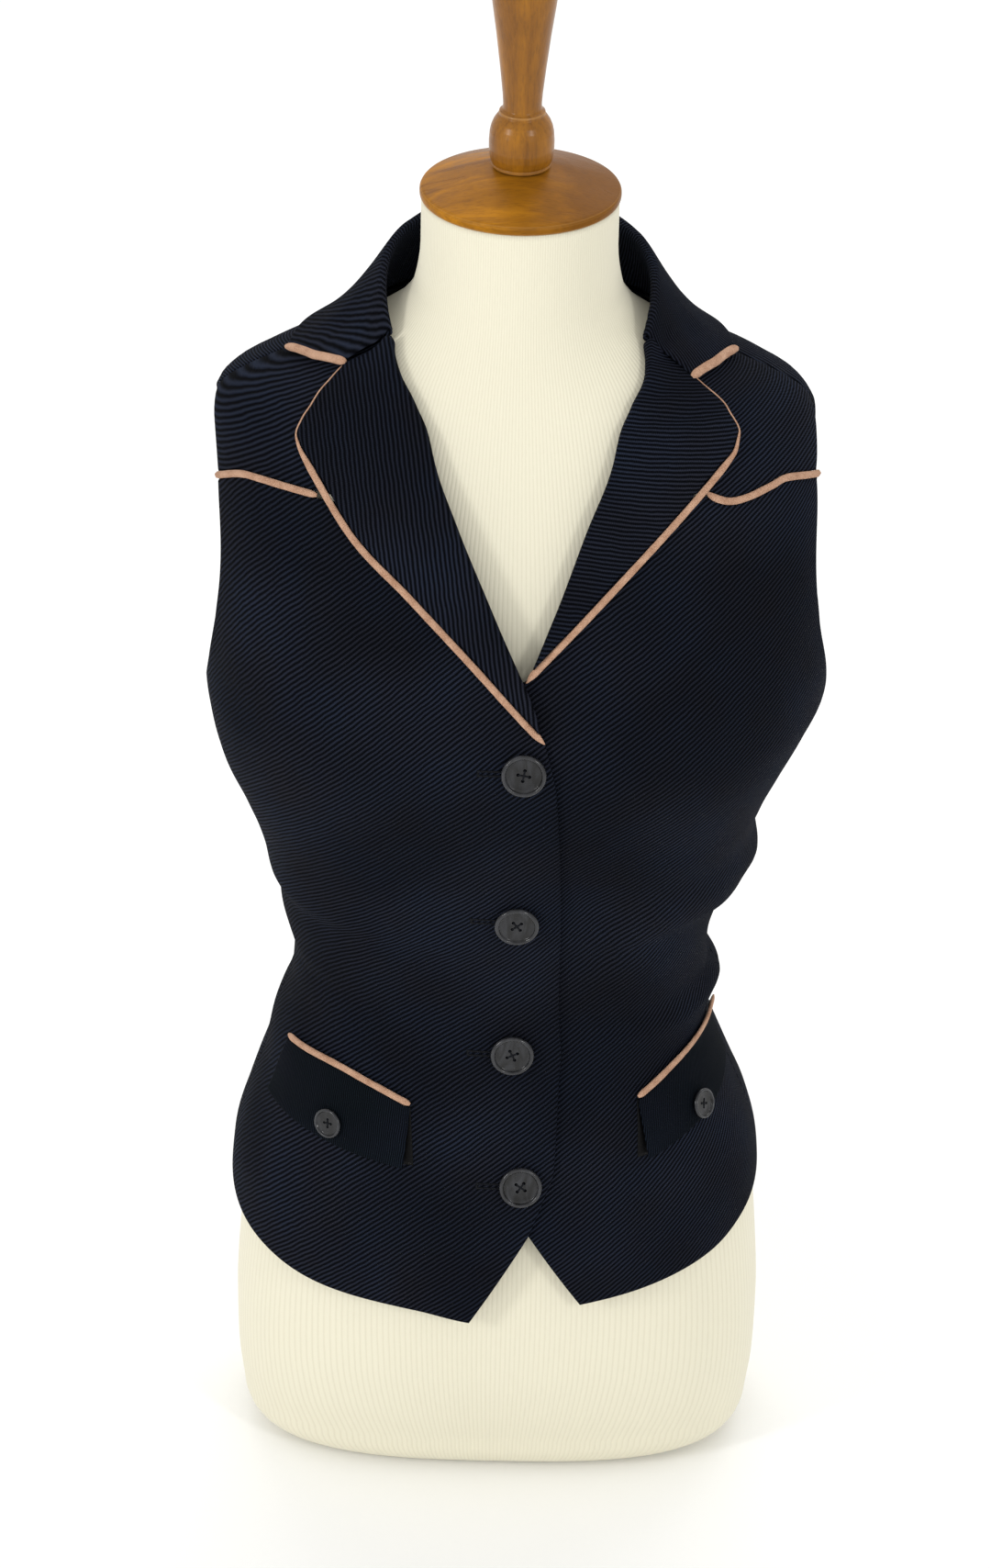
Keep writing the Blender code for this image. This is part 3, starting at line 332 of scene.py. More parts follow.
# Turned wood, as radius and height above the top of the neck
CAP_SECTION = ((0, 0.2), (CAP_RADIUS - 1.4, 0.2), (CAP_RADIUS - 0.5, 0.5), (CAP_RADIUS - 0.1, 1.3),
               (CAP_RADIUS, 2.6), (CAP_RADIUS - 0.1, 4.0), (CAP_RADIUS - 0.7, 5.1),
               (CAP_RADIUS - 2.2, 5.8), (44, 8.8), (30, 13.4), (20, 16.2), (15, 17.3), (0, 17.7))
FINIAL_SECTION = ((0, 17.8), (15.4, 17.8), (16.2, 18.4), (16.5, 19.4), (16.2, 20.4), (16.7, 21.3),
                  (17.4, 24.5), (17.8, 29), (17.8, 33), (17.4, 38), (16.6, 41.5), (15.4, 44.3),
                  (13.7, 46.8), (12.5, 48), (12.7, 48.8), (12.5, 49.7), (11.3, 50.5), (10.6, 51.4),
                  (10.5, 54), (10.9, 60), (12.4, 74), (14.8, 94), (17.2, 111), (17.9, 117), (18, 121),
                  (17.5, 124), (16.3, 126.4), (14, 128.6), (11, 130.1), (7, 131.1), (0, 131.5))
LATHE_STEP = 0.5

# The stage. Each light: name, place, width, height and share of the key light's power
STUDIO_LIGHTS = (
    ("strip light on the left", (-2.3, -1.8, 1.6), 0.34, 0.9, 1.25),
    ("strip light on the right", (1.7, -2.3, 1.75), 0.28, 0.7, 0.8),
    ("soft box behind", (0.2, 1.8, 2.7), 3.0, 2.0, 1.5),
)
LIGHTS_AIM = (0, 0, 0.5)
FLOOR_REACH = 6.0
LENS = 118.87
CAMERA_PITCH, CAMERA_ROLL = 30.5, -1.18
CAMERA_TARGET = (-0.0103, 0.0125, 0.4405)
CAMERA_DISTANCE = 3.0


def unit(vectors):
    """The same directions, each one long."""
    return vectors / np.linalg.norm(vectors, axis=-1, keepdims=True)


def eased(t):
    """A share from 0 to 1 that starts and ends softly."""
    return t * t * (3 - 2 * t)


def bisected(low, high, below):
    """Where a test that holds at low stops holding on the way to high."""
    for _ in range(40):
        middle = (low + high) / 2
        if below(middle):
            low = middle
        else:
            high = middle
    return (low + high) / 2


def monotone(xs, ys):
    """A cubic through the table's points that adds no bumps of its own."""
    xs = np.asarray(xs, float)
    ys = np.asarray(ys, float)
    gap = np.diff(xs)
    slope = np.diff(ys) / gap
    tangent = np.zeros_like(ys)
    for k in range(1, len(xs) - 1):
        if slope[k - 1] * slope[k] > 0:
            before = 2 * gap[k] + gap[k - 1]
            after = gap[k] + 2 * gap[k - 1]
            tangent[k] = (before + after) / (before / slope[k - 1] + after / slope[k])
    tangent[0], tangent[-1] = slope[0], slope[-1]

    def value(x):
        x = np.clip(np.asarray(x, float), xs[0], xs[-1])
        k = np.clip(np.searchsorted(xs, x) - 1, 0, len(gap) - 1)
        t = (x - xs[k]) / gap[k]
        return ((2 * t**3 - 3 * t**2 + 1) * ys[k] + (t**3 - 2 * t**2 + t) * gap[k] * tangent[k]
                + (3 * t**2 - 2 * t**3) * ys[k + 1] + (t**3 - t**2) * gap[k] * tangent[k + 1])
    return value


def columns(table):
    """A smooth curve for each column of a table over its first one."""
    heights = [row[0] for row in table]
    return [monotone(heights, [row[k] for row in table]) for k in range(1, len(table[0]))]


FORM_CURVES = columns(FORM)
VEST_CURVES = columns(VEST)


def ring(phi, right, left, front, back, roundness):
    """Radius of a rounded ring at an angle."""
    side = np.where(np.sin(phi) < 0, right, left)
    depth = np.where(np.cos(phi) > 0, front, back)
    across = np.abs(np.sin(phi) / side) ** roundness
    along = np.abs(np.cos(phi) / depth) ** roundness
    return (across + along) ** (-1 / roundness)


def cup(phi, z, rise):
    """The bust's rise over the rings."""
    off_angle = (np.abs(np.degrees(phi)) - CUP_ANGLE) / CUP_ROUND
    off_height = (z - CUP_HEIGHT) / CUP_UP
    return rise * np.exp(-off_angle**2 - off_height**2)


def form_radius(phi, z):
    width, front, back, roundness = (curve(z) for curve in FORM_CURVES)
    low = np.clip((BASE_ROUND - z) / BASE_ROUND, 0, 1)
    inset = BASE_ROUND * (1 - np.sqrt(1 - low * low))
    return ring(phi, width - inset, width - inset, front - inset, back - inset, roundness) \
        + cup(phi, z, FORM_CUP)


def vest_radius(phi, z):
    return ring(phi, *(curve(z) for curve in VEST_CURVES)) + cup(phi, z, VEST_CUP)


def on_ring(radius, phi, z):
    r = radius(phi, z)
    return np.stack([r * np.sin(phi), -r * np.cos(phi), z + 0 * r], -1)


def cloth(phi, z, lift=0.0):
    """Points on the garment surface, moved out along its normal by lift."""
    phi = np.asarray(phi, float)
    z = np.asarray(z, float)
    point = on_ring(vest_radius, phi, z)
    round_step, up_step = 0.004, 0.5
    d_round = on_ring(vest_radius, phi + round_step, z) - on_ring(vest_radius, phi - round_step, z)
    d_up = on_ring(vest_radius, phi, z + up_step) - on_ring(vest_radius, phi, z - up_step)
    normal = unit(np.cross(d_round, d_up))
    return point + normal * np.asarray(lift, float)[..., None], normal


def creases(phi, z):
    """How far the worn cloth stands out in soft ridges and in from them in troughs."""
    phi = np.asarray(phi, float)
    z = np.asarray(z, float)
    total = RIPPLE * np.sin(phi * 5 + z / 47) * np.sin(z / 31 - phi * 3 + 1.3)
    for start, start_z, end, end_z, width, rise in CREASES:
        middle = math.radians((start + end) / 2)
        near = middle + (phi - middle + math.pi) % (2 * math.pi) - math.pi
        ax, ay = math.radians(start) * CREASE_RADIUS, start_z
        bx, by = math.radians(end) * CREASE_RADIUS, end_z
        run = np.array([bx - ax, by - ay])
        length = math.hypot(*run)
        run /= length
        dx, dy = near * CREASE_RADIUS - ax, z - ay
        along = (dx * run[0] + dy * run[1]) / length
        across = dy * run[0] - dx * run[1]
        across = across + CREASE_BOW * length * np.sin(math.pi * np.clip(along, 0, 1))
        fade = eased(np.clip(1 - np.abs(along - CREASE_PEAK) / CREASE_REACH, 0, 1))
        total = total + rise * fade * np.exp(-(across / width) ** 2)
    return total


def layers(phi, z, lift, thickness):
    """Outer and inner face of a cloth wall. A trough thins it, so the wall stays off the form."""
    rise = creases(phi, z)
    outer = cloth(phi, z, lift + rise)[0]
    inner = cloth(phi, z, lift - thickness + np.maximum(rise, 0))[0]
    return outer, inner


def front(x, z):
    """Angle of the front of the garment at a sideways distance and a height."""
    angle = bisected(0.0, math.radians(FRONT_ENDS),
                     lambda a: vest_radius(math.copysign(a, x), z) * math.sin(a) < abs(x))
    return math.copysign(angle, x), float(z)


def surface_height(phi, radius):
    """Height at which the shoulder surface has this radius."""
    return bisected(SHOULDER_LOW, SHOULDER_HIGH, lambda z: vest_radius(phi, z) > radius)


# The pattern plane: u is a distance round the body, v a distance up along the cloth
ROUND_SCALE = 130.0
HEIGHTS = np.arange(120.0, 760.5, 0.5)
SIDE_SLOPE = np.gradient(VEST_CURVES[0](HEIGHTS), HEIGHTS)
ALONG = np.concatenate([[0.0], np.cumsum(np.sqrt(1 + SIDE_SLOPE[1:] ** 2) * 0.5)])


def to_plane(points):
    points = np.asarray(points, float)
    return np.stack([points[:, 0] * ROUND_SCALE, np.interp(points[:, 1], HEIGHTS, ALONG)], -1)


def from_plane(points):
    points = np.asarray(points, float)
    return points[:, 0] / ROUND_SCALE, np.interp(points[:, 1], ALONG, HEIGHTS)


def spline(points, step):
    """A smooth curve through points in any dimension, with a point about every step."""
    points = np.asarray(points, float)
    padded = np.vstack([2 * points[0] - points[1], points, 2 * points[-1] - points[-2]])
    dense = []
    for k in range(1, len(padded) - 2):
        a, b, c, d = padded[k - 1:k + 3]
        for t in np.linspace(0, 1, 24, endpoint=False):
            dense.append(0.5 * (2 * b + (c - a) * t + (2 * a - 5 * b + 4 * c - d) * t**2
                                + (3 * b - a - 3 * c + d) * t**3))
    dense.append(points[-1])
    return resample(np.array(dense), step)


def lengths(points):
    """Distance along a path at each of its points."""
    return np.concatenate([[0], np.cumsum(np.linalg.norm(np.diff(points, axis=0), axis=1))])


def at_lengths(path, at):
    """Points of a path at distances along it."""
    return np.stack([np.interp(at, lengths(path), column) for column in path.T], -1)


def resample(points, step):
    points = np.asarray(points, float)
    total = lengths(points)[-1]
    return at_lengths(points, np.linspace(0, total, max(1, round(total / step)) + 1))


def resample_at(path, share):
    return at_lengths(path, share * lengths(path)[-1])


def front_plane(points):
    """Places on the front, given as x and height, in the pattern plane."""
    return to_plane([front(x, z) for x, z in points])


def curve(points, step):
    """A curved edge in the pattern plane."""
    return spline(to_plane(points), step)


def polyline(points, step):
    """An edge of straight runs in the pattern plane, keeping its corners."""
    flat = to_plane(points)
    runs = [resample(flat[k:k + 2], step)[:-1] for k in range(len(flat) - 1)]
    return np.vstack(runs + [flat[-1:]])


def left_of(runs):
    """Directions in the pattern plane turned a quarter to the left."""
    return np.stack([-runs[:, 1], runs[:, 0]], -1)


def beside(path, distance):
    """A path in the pattern plane moved sideways, to its left for a positive distance."""
    return path + left_of(unit(np.gradient(path, axis=0))) * distance


def seam_edge(side, distance, step):
    """Edge of a cloth piece beside the piped yoke seam, from the armhole inwards."""
    moved = beside(spline(front_plane(side.yoke), 2.0), distance * -side.sign)
    moved[0, 0] = side.sign * math.radians(ARMHOLE_AT_SEAM) * ROUND_SCALE
    return resample(moved, step)


def loop_of(edges):
    """One closed outline from edges that share their end points."""
    return np.vstack([edge[:-1] for edge in edges])


def inside(points, loop):
    """Which plane points lie within a closed outline."""
    result = np.zeros(len(points), bool)
    for (ax, ay), (bx, by) in zip(loop, np.roll(loop, -1, 0)):
        crosses = (ay > points[:, 1]) != (by > points[:, 1])
        if ay != by:
            result ^= crosses & (points[:, 0] < (bx - ax) * (points[:, 1] - ay) / (by - ay) + ax)
    return result


def room(points, path):
    """Distance from plane points to an open path."""
    best = np.full(len(points), np.inf)
    for a, b in zip(path[:-1], path[1:]):
        run = b - a
        t = np.clip(((points - a) @ run) / max(run @ run, 1e-9), 0, 1)
        best = np.minimum(best, np.linalg.norm(points - (a + t[:, None] * run), axis=1))
    return best


def hexagonal(low, high, step):
    """Rows of points a step apart over a box of the pattern plane."""
    row = step * math.sqrt(3) / 2
    return np.array([(low[0] + step * (i + 0.5 * (j % 2)), low[1] + row * j)
                     for j in range(int((high[1] - low[1]) / row) + 2)
                     for i in range(int((high[0] - low[0]) / step) + 2)])


def inset(loop, distance):
    """Points just inside a closed outline."""
    after = np.roll(loop, -1, 0)
    area = np.sum(loop[:, 0] * after[:, 1] - after[:, 0] * loop[:, 1])
    return loop + left_of(unit(after - np.roll(loop, 1, 0))) * distance * np.sign(area)


def closed_edges(first, count):
    """Edges of a closed row of points."""
    return [(first + k, first + (k + 1) % count) for k in range(count)]


def filled(points, edges):
    """Plane points and the triangles that fill the area within closed rows of edges."""
    found = delaunay_2d_cdt([Vector(p) for p in points.tolist()], edges, [], 1, 1e-6)
    return np.array([tuple(v) for v in found[0]]), [tuple(f) for f in found[2]]


def triangulate(loop, step):
    """Plane points and triangles that fill a closed outline, with a narrow rim."""
    closed = np.vstack([loop, loop[:1]])
    rim = inset(loop, RIM)
    rim = rim[inside(rim, loop)]
    rim = rim[room(rim, closed) > 0.5 * RIM]
    grid = hexagonal(loop.min(0), loop.max(0), step)
    grid = grid[inside(grid, loop)]
    grid = grid[room(grid, closed) > RIM + 0.45 * step]
    return filled(np.vstack([loop, rim, grid]), closed_edges(0, len(loop)))


def border(faces):
    """Directed edges that belong to one face only."""
    seen = {}
    for face in faces:
        for a, b in zip(face, face[1:] + face[:1]):
            seen[(a, b)] = True
    return [edge for edge in seen if (edge[1], edge[0]) not in seen]


def walled(faces, edges, count):
    """Faces of a closed wall between two layers of a sheet, of count points each."""
    return ([*faces] + [tuple(count + k for k in reversed(face)) for face in faces]
            + [(b, a, count + a, count + b) for a, b in edges])


def to_scene(points):
    """Garment millimetres to scene metres."""
    return (np.asarray(points, float) - (CENTRE_X, CENTRE_Y, 0)) * MM


def outward(mesh):
    """Turns a mesh's faces to the outside."""
    bm = bmesh.new()
    bm.from_mesh(mesh)
    bmesh.ops.recalc_face_normals(bm, faces=bm.faces)
    bm.to_mesh(mesh)
    bm.free()


def put(name, data):
    """A new object in the scene, at the origin."""
    obj = bpy.data.objects.new(name, data)
    bpy.context.scene.collection.objects.link(obj)
    return obj


def add_mesh(name, points, faces, materials, weave=None, slots=None):
    """A mesh object at the origin with its place in its mesh, its faces outwards."""
    mesh = bpy.data.meshes.new(name)
    mesh.from_pydata(to_scene(points).tolist(), [], faces)
    for material in materials:
        mesh.materials.append(material)
    if slots is not None:
        mesh.polygons.foreach_set("material_index", slots)
    if weave is not None:
        corners = np.zeros(len(mesh.loops), int)
        mesh.loops.foreach_get("vertex_index", corners)
        layer = mesh.uv_layers.new(name="weave")
        layer.data.foreach_set("uv", (np.asarray(weave)[corners] * MM).astype(np.float32).ravel())
    outward(mesh)
    mesh.shade_smooth()
    return put(name, mesh)


def cloth_wall(name, outer, inner, faces, weave, materials):
    """A closed wall of cloth between two layers, with its cut edges rounded."""
    edges = border(faces)
    rim = sorted({point for edge in edges for point in edge})
    middle = (outer[rim] + inner[rim]) / 2
    outer[rim] += (middle - outer[rim]) * RIM_ROUND
    inner[rim] += (middle - inner[rim]) * RIM_ROUND
    slots = [0] * len(faces) + [len(materials) - 1] * len(faces) + [0] * len(edges)
    return add_mesh(name, np.vstack([outer, inner]), walled(faces, edges, len(outer)), materials,
                    np.vstack([weave, weave]), slots)


def grid_wall(name, outer, inner, weave, materials):
    """A wall of cloth between two layers given as rows and columns of points."""
    rows, cols = outer.shape[:2]
    faces = [(i * cols + j, i * cols + j + 1, (i + 1) * cols + j + 1, (i + 1) * cols + j)
             for i in range(rows - 1) for j in range(cols - 1)]
    return cloth_wall(name, outer.reshape(-1, 3), inner.reshape(-1, 3), faces, weave.reshape(-1, 2),
                      materials)


def turned_weave(across, up, angle):
    """Weave coordinates: across the twill's ribs, and along them, which rise at an angle."""
    a = math.radians(angle)
    return np.stack([up * math.cos(a) - across * math.sin(a), across * math.cos(a) + up * math.sin(a)], -1)


WEAVE_ANGLES = np.radians(np.arange(-270.0, 271.0, 1.0))
WEAVE_HEIGHTS = np.arange(120.0, 760.1, 4.0)


def cut_table():
    """The cloth's own lengths round and up at a grid of angles and heights."""
    phi, z = np.meshgrid(WEAVE_ANGLES, WEAVE_HEIGHTS, indexing="ij")
    places = cloth(phi, z)[0]
    around = np.linalg.norm(np.diff(places, axis=0), axis=2)
    upward = np.linalg.norm(np.diff(places, axis=1), axis=2)
    around = np.vstack([np.zeros((1, around.shape[1])), np.cumsum(around, axis=0)])
    upward = np.hstack([np.zeros((upward.shape[0], 1)), np.cumsum(upward, axis=1)])
    return around, upward


ROUND_TABLE, UP_TABLE = cut_table()


def from_table(table, phi, z):
    """A length of the cloth read between the table's angles and heights."""
    i = np.clip((phi - WEAVE_ANGLES[0]) / math.radians(1.0), 0, len(WEAVE_ANGLES) - 1.001)
    j = np.clip((z - WEAVE_HEIGHTS[0]) / 4.0, 0, len(WEAVE_HEIGHTS) - 1.001)
    i0, j0 = i.astype(int), j.astype(int)
    fi, fj = i - i0, j - j0
    return ((1 - fi) * (1 - fj) * table[i0, j0] + fi * (1 - fj) * table[i0 + 1, j0]
            + (1 - fi) * fj * table[i0, j0 + 1] + fi * fj * table[i0 + 1, j0 + 1])


def cut_place(phi, z, grain):
    """Where a place of the worn cloth lies in the flat cut, from a vertical grain line."""
    phi = np.asarray(phi, float)
    z = np.asarray(z, float)
    across = from_table(ROUND_TABLE, phi, z) - from_table(ROUND_TABLE, np.full_like(phi, grain), z)
    drift = 0.0
    for angle, height, wide, tall, amount in WEAVE_DRIFTS:
        off = ((np.degrees(phi) - angle) / wide) ** 2 + ((z - height) / tall) ** 2
        drift = drift + amount * np.exp(-off)
    return across, from_table(UP_TABLE, phi, z) + drift


def rise_over(phi, z):
    """How far the right front lies above the garment surface."""
    x = vest_radius(phi, z) * np.sin(phi)
    t = np.clip((x - RISE_FROM) / (RISE_TO - RISE_FROM), 0, 1)
    return RISE * eased(t)


def flat_lift(phi, _):
    return 0 * phi


def lift_of(side):
    """How far a side's front lies above the garment surface."""
    return rise_over if side is RIGHT else flat_lift


def armhole(side, back=False):
    """Armhole edge of the front or back, from the shoulder seam down to the side seam."""
    return [(math.radians(side * (180 - a if back else a)), z) for a, z in ARMHOLE]


def v_edge(side):
    """Edge of the front under the lapel's roll, and the point where yoke and front meet."""
    edge = [(x + side.sign * (LAPEL_SKIRT + ROLL_CLEARANCE), z) for x, z in side.roll]
    xs, zs = zip(*reversed(edge))
    return edge, (float(np.interp(YOKE_UNDER_LAPEL, zs, xs)), YOKE_UNDER_LAPEL)


def cut_join(point, seam_path):
    """The straight run from the V's edge to the inner end of the piped seam."""
    return resample(np.array([front_plane([point])[0], seam_path[-1]]), CLOTH_STEP)


def panel(name, edges, step, lift, grain, angle, materials, flat_weave=False):
    """A cloth piece cut to an outline in the pattern plane."""
    flat, faces = triangulate(loop_of(edges), step)
    phi, z = from_plane(flat)
    outer, inner = layers(phi, z, lift(phi, z), CLOTH)
    if flat_weave:
        across, up = outer[:, 0].copy(), from_table(UP_TABLE, phi, z)
    else:
        across, up = cut_place(phi, z, grain)
    return cloth_wall(name, outer, inner, faces, turned_weave(across, up, angle), materials)


def yoke_piece(side, materials):
    """Front shoulder piece from the shoulder seam down to the piped yoke seam."""
    seam_path = seam_edge(side, SEAM_TUCK, EDGE_STEP)
    edge, low = v_edge(side)
    upper = [point for point in edge if point[1] > low[1] + JOIN_SPACE]
    hole = [point for point in armhole(side.sign) if point[1] > side.yoke[0][1] + SEAM_SPACE]
    shoulder_neck = (side.sign * math.pi / 2, SHOULDER_NECK)
    edges = [
        spline(front_plane(upper + [low]), CLOTH_STEP),
        cut_join(low, seam_path),
        seam_path[::-1],
        spline(np.vstack([seam_path[:1], to_plane(hole[::-1])]), CLOTH_STEP),
        polyline([hole[0], shoulder_neck, front(*upper[0])], CLOTH_STEP),
    ]
    return panel(f"yoke_{side.name}_cloth", edges, CLOTH_STEP, flat_lift, 0.0, YOKE_RIBS, materials,
                 flat_weave=True)


def front_piece(side, angle, materials):
    """Lower front from the yoke seam to the hem. The edge runs from the V down to the hem."""
    seam_path = seam_edge(side, -SEAM_TUCK, EDGE_STEP)
    under_lapel, top = v_edge(side)
    lower = [point for point in under_lapel if point[1] < top[1] - JOIN_SPACE]
    hole = [point for point in armhole(side.sign) if point[1] < side.yoke[0][1] - SEAM_SPACE]
    side_seam = (hole[-1][0], float(side.side_hem))
    edges = [
        curve([side_seam] + [front(*point) for point in reversed(side.hem)], CLOTH_STEP),
        polyline([front(*point) for point in reversed(side.edge)], CLOTH_STEP),
        polyline([front(*side.edge[0]), front(*lower[-1])], CLOTH_STEP),
        spline(front_plane([top] + lower), CLOTH_STEP)[::-1],
        cut_join(top, seam_path),
        seam_path[::-1],
        spline(np.vstack([seam_path[:1], to_plane(hole)]), CLOTH_STEP),
        polyline([hole[-1], side_seam], CLOTH_STEP),
    ]
    return panel(f"front_{side.name}_cloth", edges, CLOTH_STEP, lift_of(side), 0.0, angle, materials)


def back_piece(side, angle, materials):
    """Half of the back, from the centre seam to the side and shoulder seams."""
    centre = side.sign * math.pi
    hole = armhole(side.sign, back=True)
    shoulder_neck = (side.sign * math.pi / 2, SHOULDER_NECK)
    side_seam = (hole[-1][0], float(side.side_hem))
    neck_angle, neck_rise = BACK_NECK_BEND
    edges = [
        polyline([(centre, BACK_HEM), (centre, BACK_NECK)], BACK_STEP),
        curve([(centre, BACK_NECK), (side.sign * neck_angle, BACK_NECK + neck_rise), shoulder_neck],
              BACK_STEP),
        polyline([shoulder_neck, hole[0]], BACK_STEP),
        curve(hole, CLOTH_STEP),
        polyline([hole[-1], side_seam], BACK_STEP),
        curve([side_seam, (side.sign * BACK_HEM_BEND, (side.side_hem + BACK_HEM) / 2),
               (centre, BACK_HEM)], BACK_STEP),
    ]
    return panel(f"back_{side.name}_cloth", edges, BACK_STEP, flat_lift, centre, angle, materials)


def lapel_outline(outline, step):
    """The lapel's piped edge in the pattern plane, with its corners kept."""
    corners = front_plane(outline)
    runs = [resample(corners[k:k + 2], step)[:-1] for k in range(3)]
    return np.vstack(runs + [spline(corners[3:], step)])


def piping_share(outline):
    """Width of a lapel's piping along its edge: thin from the notch to the tip, then full."""
    corners = lengths(front_plane(outline))
    thin_end, full_from = corners[2] / corners[-1], (corners[3] + 12) / corners[-1]
    return lambda part: THIN_PIPING + (LAPEL_PIPING - THIN_PIPING) * np.clip(
        (part - thin_end) / (full_from - thin_end), 0, 1)


def lapel(side, materials):
    """The turned-back lapel, between its rounded roll and its piped edge."""
    top = (side.roll[0][0] * LAPEL_TOP[0], side.roll[0][1] + LAPEL_TOP[1])
    roll_path = spline(front_plane((top, *side.roll)), 1.0)
    edge_path = lapel_outline(side.lapel, 1.0)
    girth = piping_share(side.lapel)
    share = np.concatenate([[0.0, LAPEL_END_STEP],
                            np.linspace(0.016, LAPEL_END - LAPEL_END_STEP, LAPEL_ROWS), [LAPEL_END]])
    outer, inner, weave = [], [], []
    for part, a, b in zip(share, resample_at(roll_path, share), resample_at(edge_path, share)):
        run = b - a
        length = float(np.linalg.norm(run))
        tries = np.linspace(0, length, 160)
        keep_off = PIPING_WIDTH / 2 * float(girth(part))
        clear = room(a + run / length * tries[:, None], edge_path) > keep_off
        clear &= tries < length - 0.5
        width = max(float(tries[clear].max()) if clear.any() else 0.0, LAPEL_LEAST)
        skirt = min(LAPEL_SKIRT, 0.5 * width)
        bend = min(LAPEL_SKIRT + 0.6, 0.7 * width)
        turn = np.linspace(0, math.pi / 2, ROLL_STEPS)
        rest = bend + (width - bend) * np.linspace(0, 1, LAPEL_COLUMNS) ** 0.9
        across = np.concatenate([skirt * (1 - np.cos(turn)), rest, [width + 0.01]])
        across[-2] = max(width - RIM, 0.75 * width)
        rise = ROLL_SWELL + ROLL_SWELL_TOP * max(0.0, 1 - part / ROLL_TOP)
        phi, z = from_plane(a + run / length * across[:, None])
        base = lift_of(side)(phi, z) + creases(phi, z)
        swell = rise * (1 - np.minimum(1.0, across / max(ROLL_FADE, 0.5 * width))) ** 2
        high = base + LAY + CLOTH + swell
        low = np.where(across <= skirt + 1e-6, base - CLOTH, high - CLOTH)
        rounding = np.sqrt(np.clip(1 - (1 - across / skirt) ** 2, 0.002, 1))
        rounding = np.where(across < skirt, rounding, 1.0)
        middle = (high + np.where(across <= skirt + 1e-6, base - CLOTH, high)) / 2
        outer.append(cloth(phi, z, middle + (high - middle) * rounding)[0])
        inner.append(cloth(phi, z, middle - (middle - low) * rounding)[0])
        up = from_table(UP_TABLE, phi, z)
        weave.append(turned_weave(outer[-1][:, 0], up, side.lapel_ribs))
    return grid_wall(f"lapel_{side.name}_cloth", np.array(outer), np.array(inner), np.array(weave), materials)


def collar_half(edge):
    """Centre of half the collar's sheet, from its left front end to the middle of the back."""
    fold_radius, fold_height = columns(FOLD)
    front_run = resample(np.array(edge[:3], float), COLLAR_ROWS_STEP)
    half = np.vstack([front_run[:-1], spline(edge[2:], COLLAR_ROWS_STEP)])
    length = lengths(half)
    start, end = FOLD[0][0], 180.0
    columns_at = np.concatenate([[0, 0.012], np.linspace(0, 1, COLLAR_COLUMNS)[1:-1], [0.985, 1]])
    rows = []
    for k, (x, y) in enumerate(half):
        angle = start + (end - start) * (length[k] / length[-1])
        phi = math.radians(angle)
        radius, top = float(fold_radius(angle)), float(fold_height(angle))
        neck = SHOULDER_NECK + (BACK_NECK - SHOULDER_NECK) * max(0.0, (angle - 90) / 90) ** 1.5
        neck -= COLLAR_FRONT_DROP * max(0.0, (90 - angle) / COLLAR_FRONT_ANGLE)
        neck_r = float(vest_radius(phi, neck)) - CLOTH / 2
        edge_r = math.hypot(x, y)
        edge_phi = math.atan2(x, -y) % (2 * math.pi)
        edge_z = surface_height(edge_phi, edge_r) + COLLAR_LIFT * (0.8 if k else 0.75)
        low, out = top - FOLD_DROP, radius + FOLD_ROUND
        row = [(phi, neck_r, neck + STAND_FOOT),
               (phi, (neck_r + radius - FOLD_ROUND) / 2, (neck + top) / 2),
               (phi, radius - FOLD_ROUND, low), (phi, radius, top), (phi, out, low)]
        for t in FALL_SHARES:
            fall_phi, fall_r = phi + (edge_phi - phi) * t, out + (edge_r - out) * t
            fall_z = low + (edge_z - low) * t - COLLAR_SAG * math.sin(math.pi * t)
            floor = surface_height(fall_phi, fall_r) + COLLAR_LIFT * (0.8 + 0.3 * math.sin(math.pi * t))
            row.append((fall_phi, fall_r, max(fall_z, floor)))
        places = np.array([(r * math.sin(p), -r * math.cos(p), z) for p, r, z in row])
        rows.append(resample_at(spline(places, 0.5), columns_at))
    return np.array(rows)


def collar_grid():
    """Centre of the collar's sheet, from the right front end round the neck to the left."""
    right = collar_half(RIGHT.collar) * np.array([-1, 1, 1])
    return np.concatenate([right, collar_half(LEFT.collar)[::-1][1:]])


def collar(materials):
    grid = collar_grid()
    half = unit(np.cross(np.gradient(grid, axis=0), np.gradient(grid, axis=1))) * COLLAR_CLOTH / 2
    radius = np.hypot(grid[..., 0], grid[..., 1])
    along = -COLLAR_RADIUS * np.unwrap(np.arctan2(grid[..., 0], -grid[..., 1]), axis=0)
    over = np.cumsum(np.hypot(np.diff(radius, axis=1), np.diff(grid[..., 2], axis=1)), axis=1)
    over = np.hstack([np.zeros((len(grid), 1)), over])
    return grid_wall("collar_cloth", grid + half, grid - half, turned_weave(along, over, COLLAR_RIBS),
                     materials)


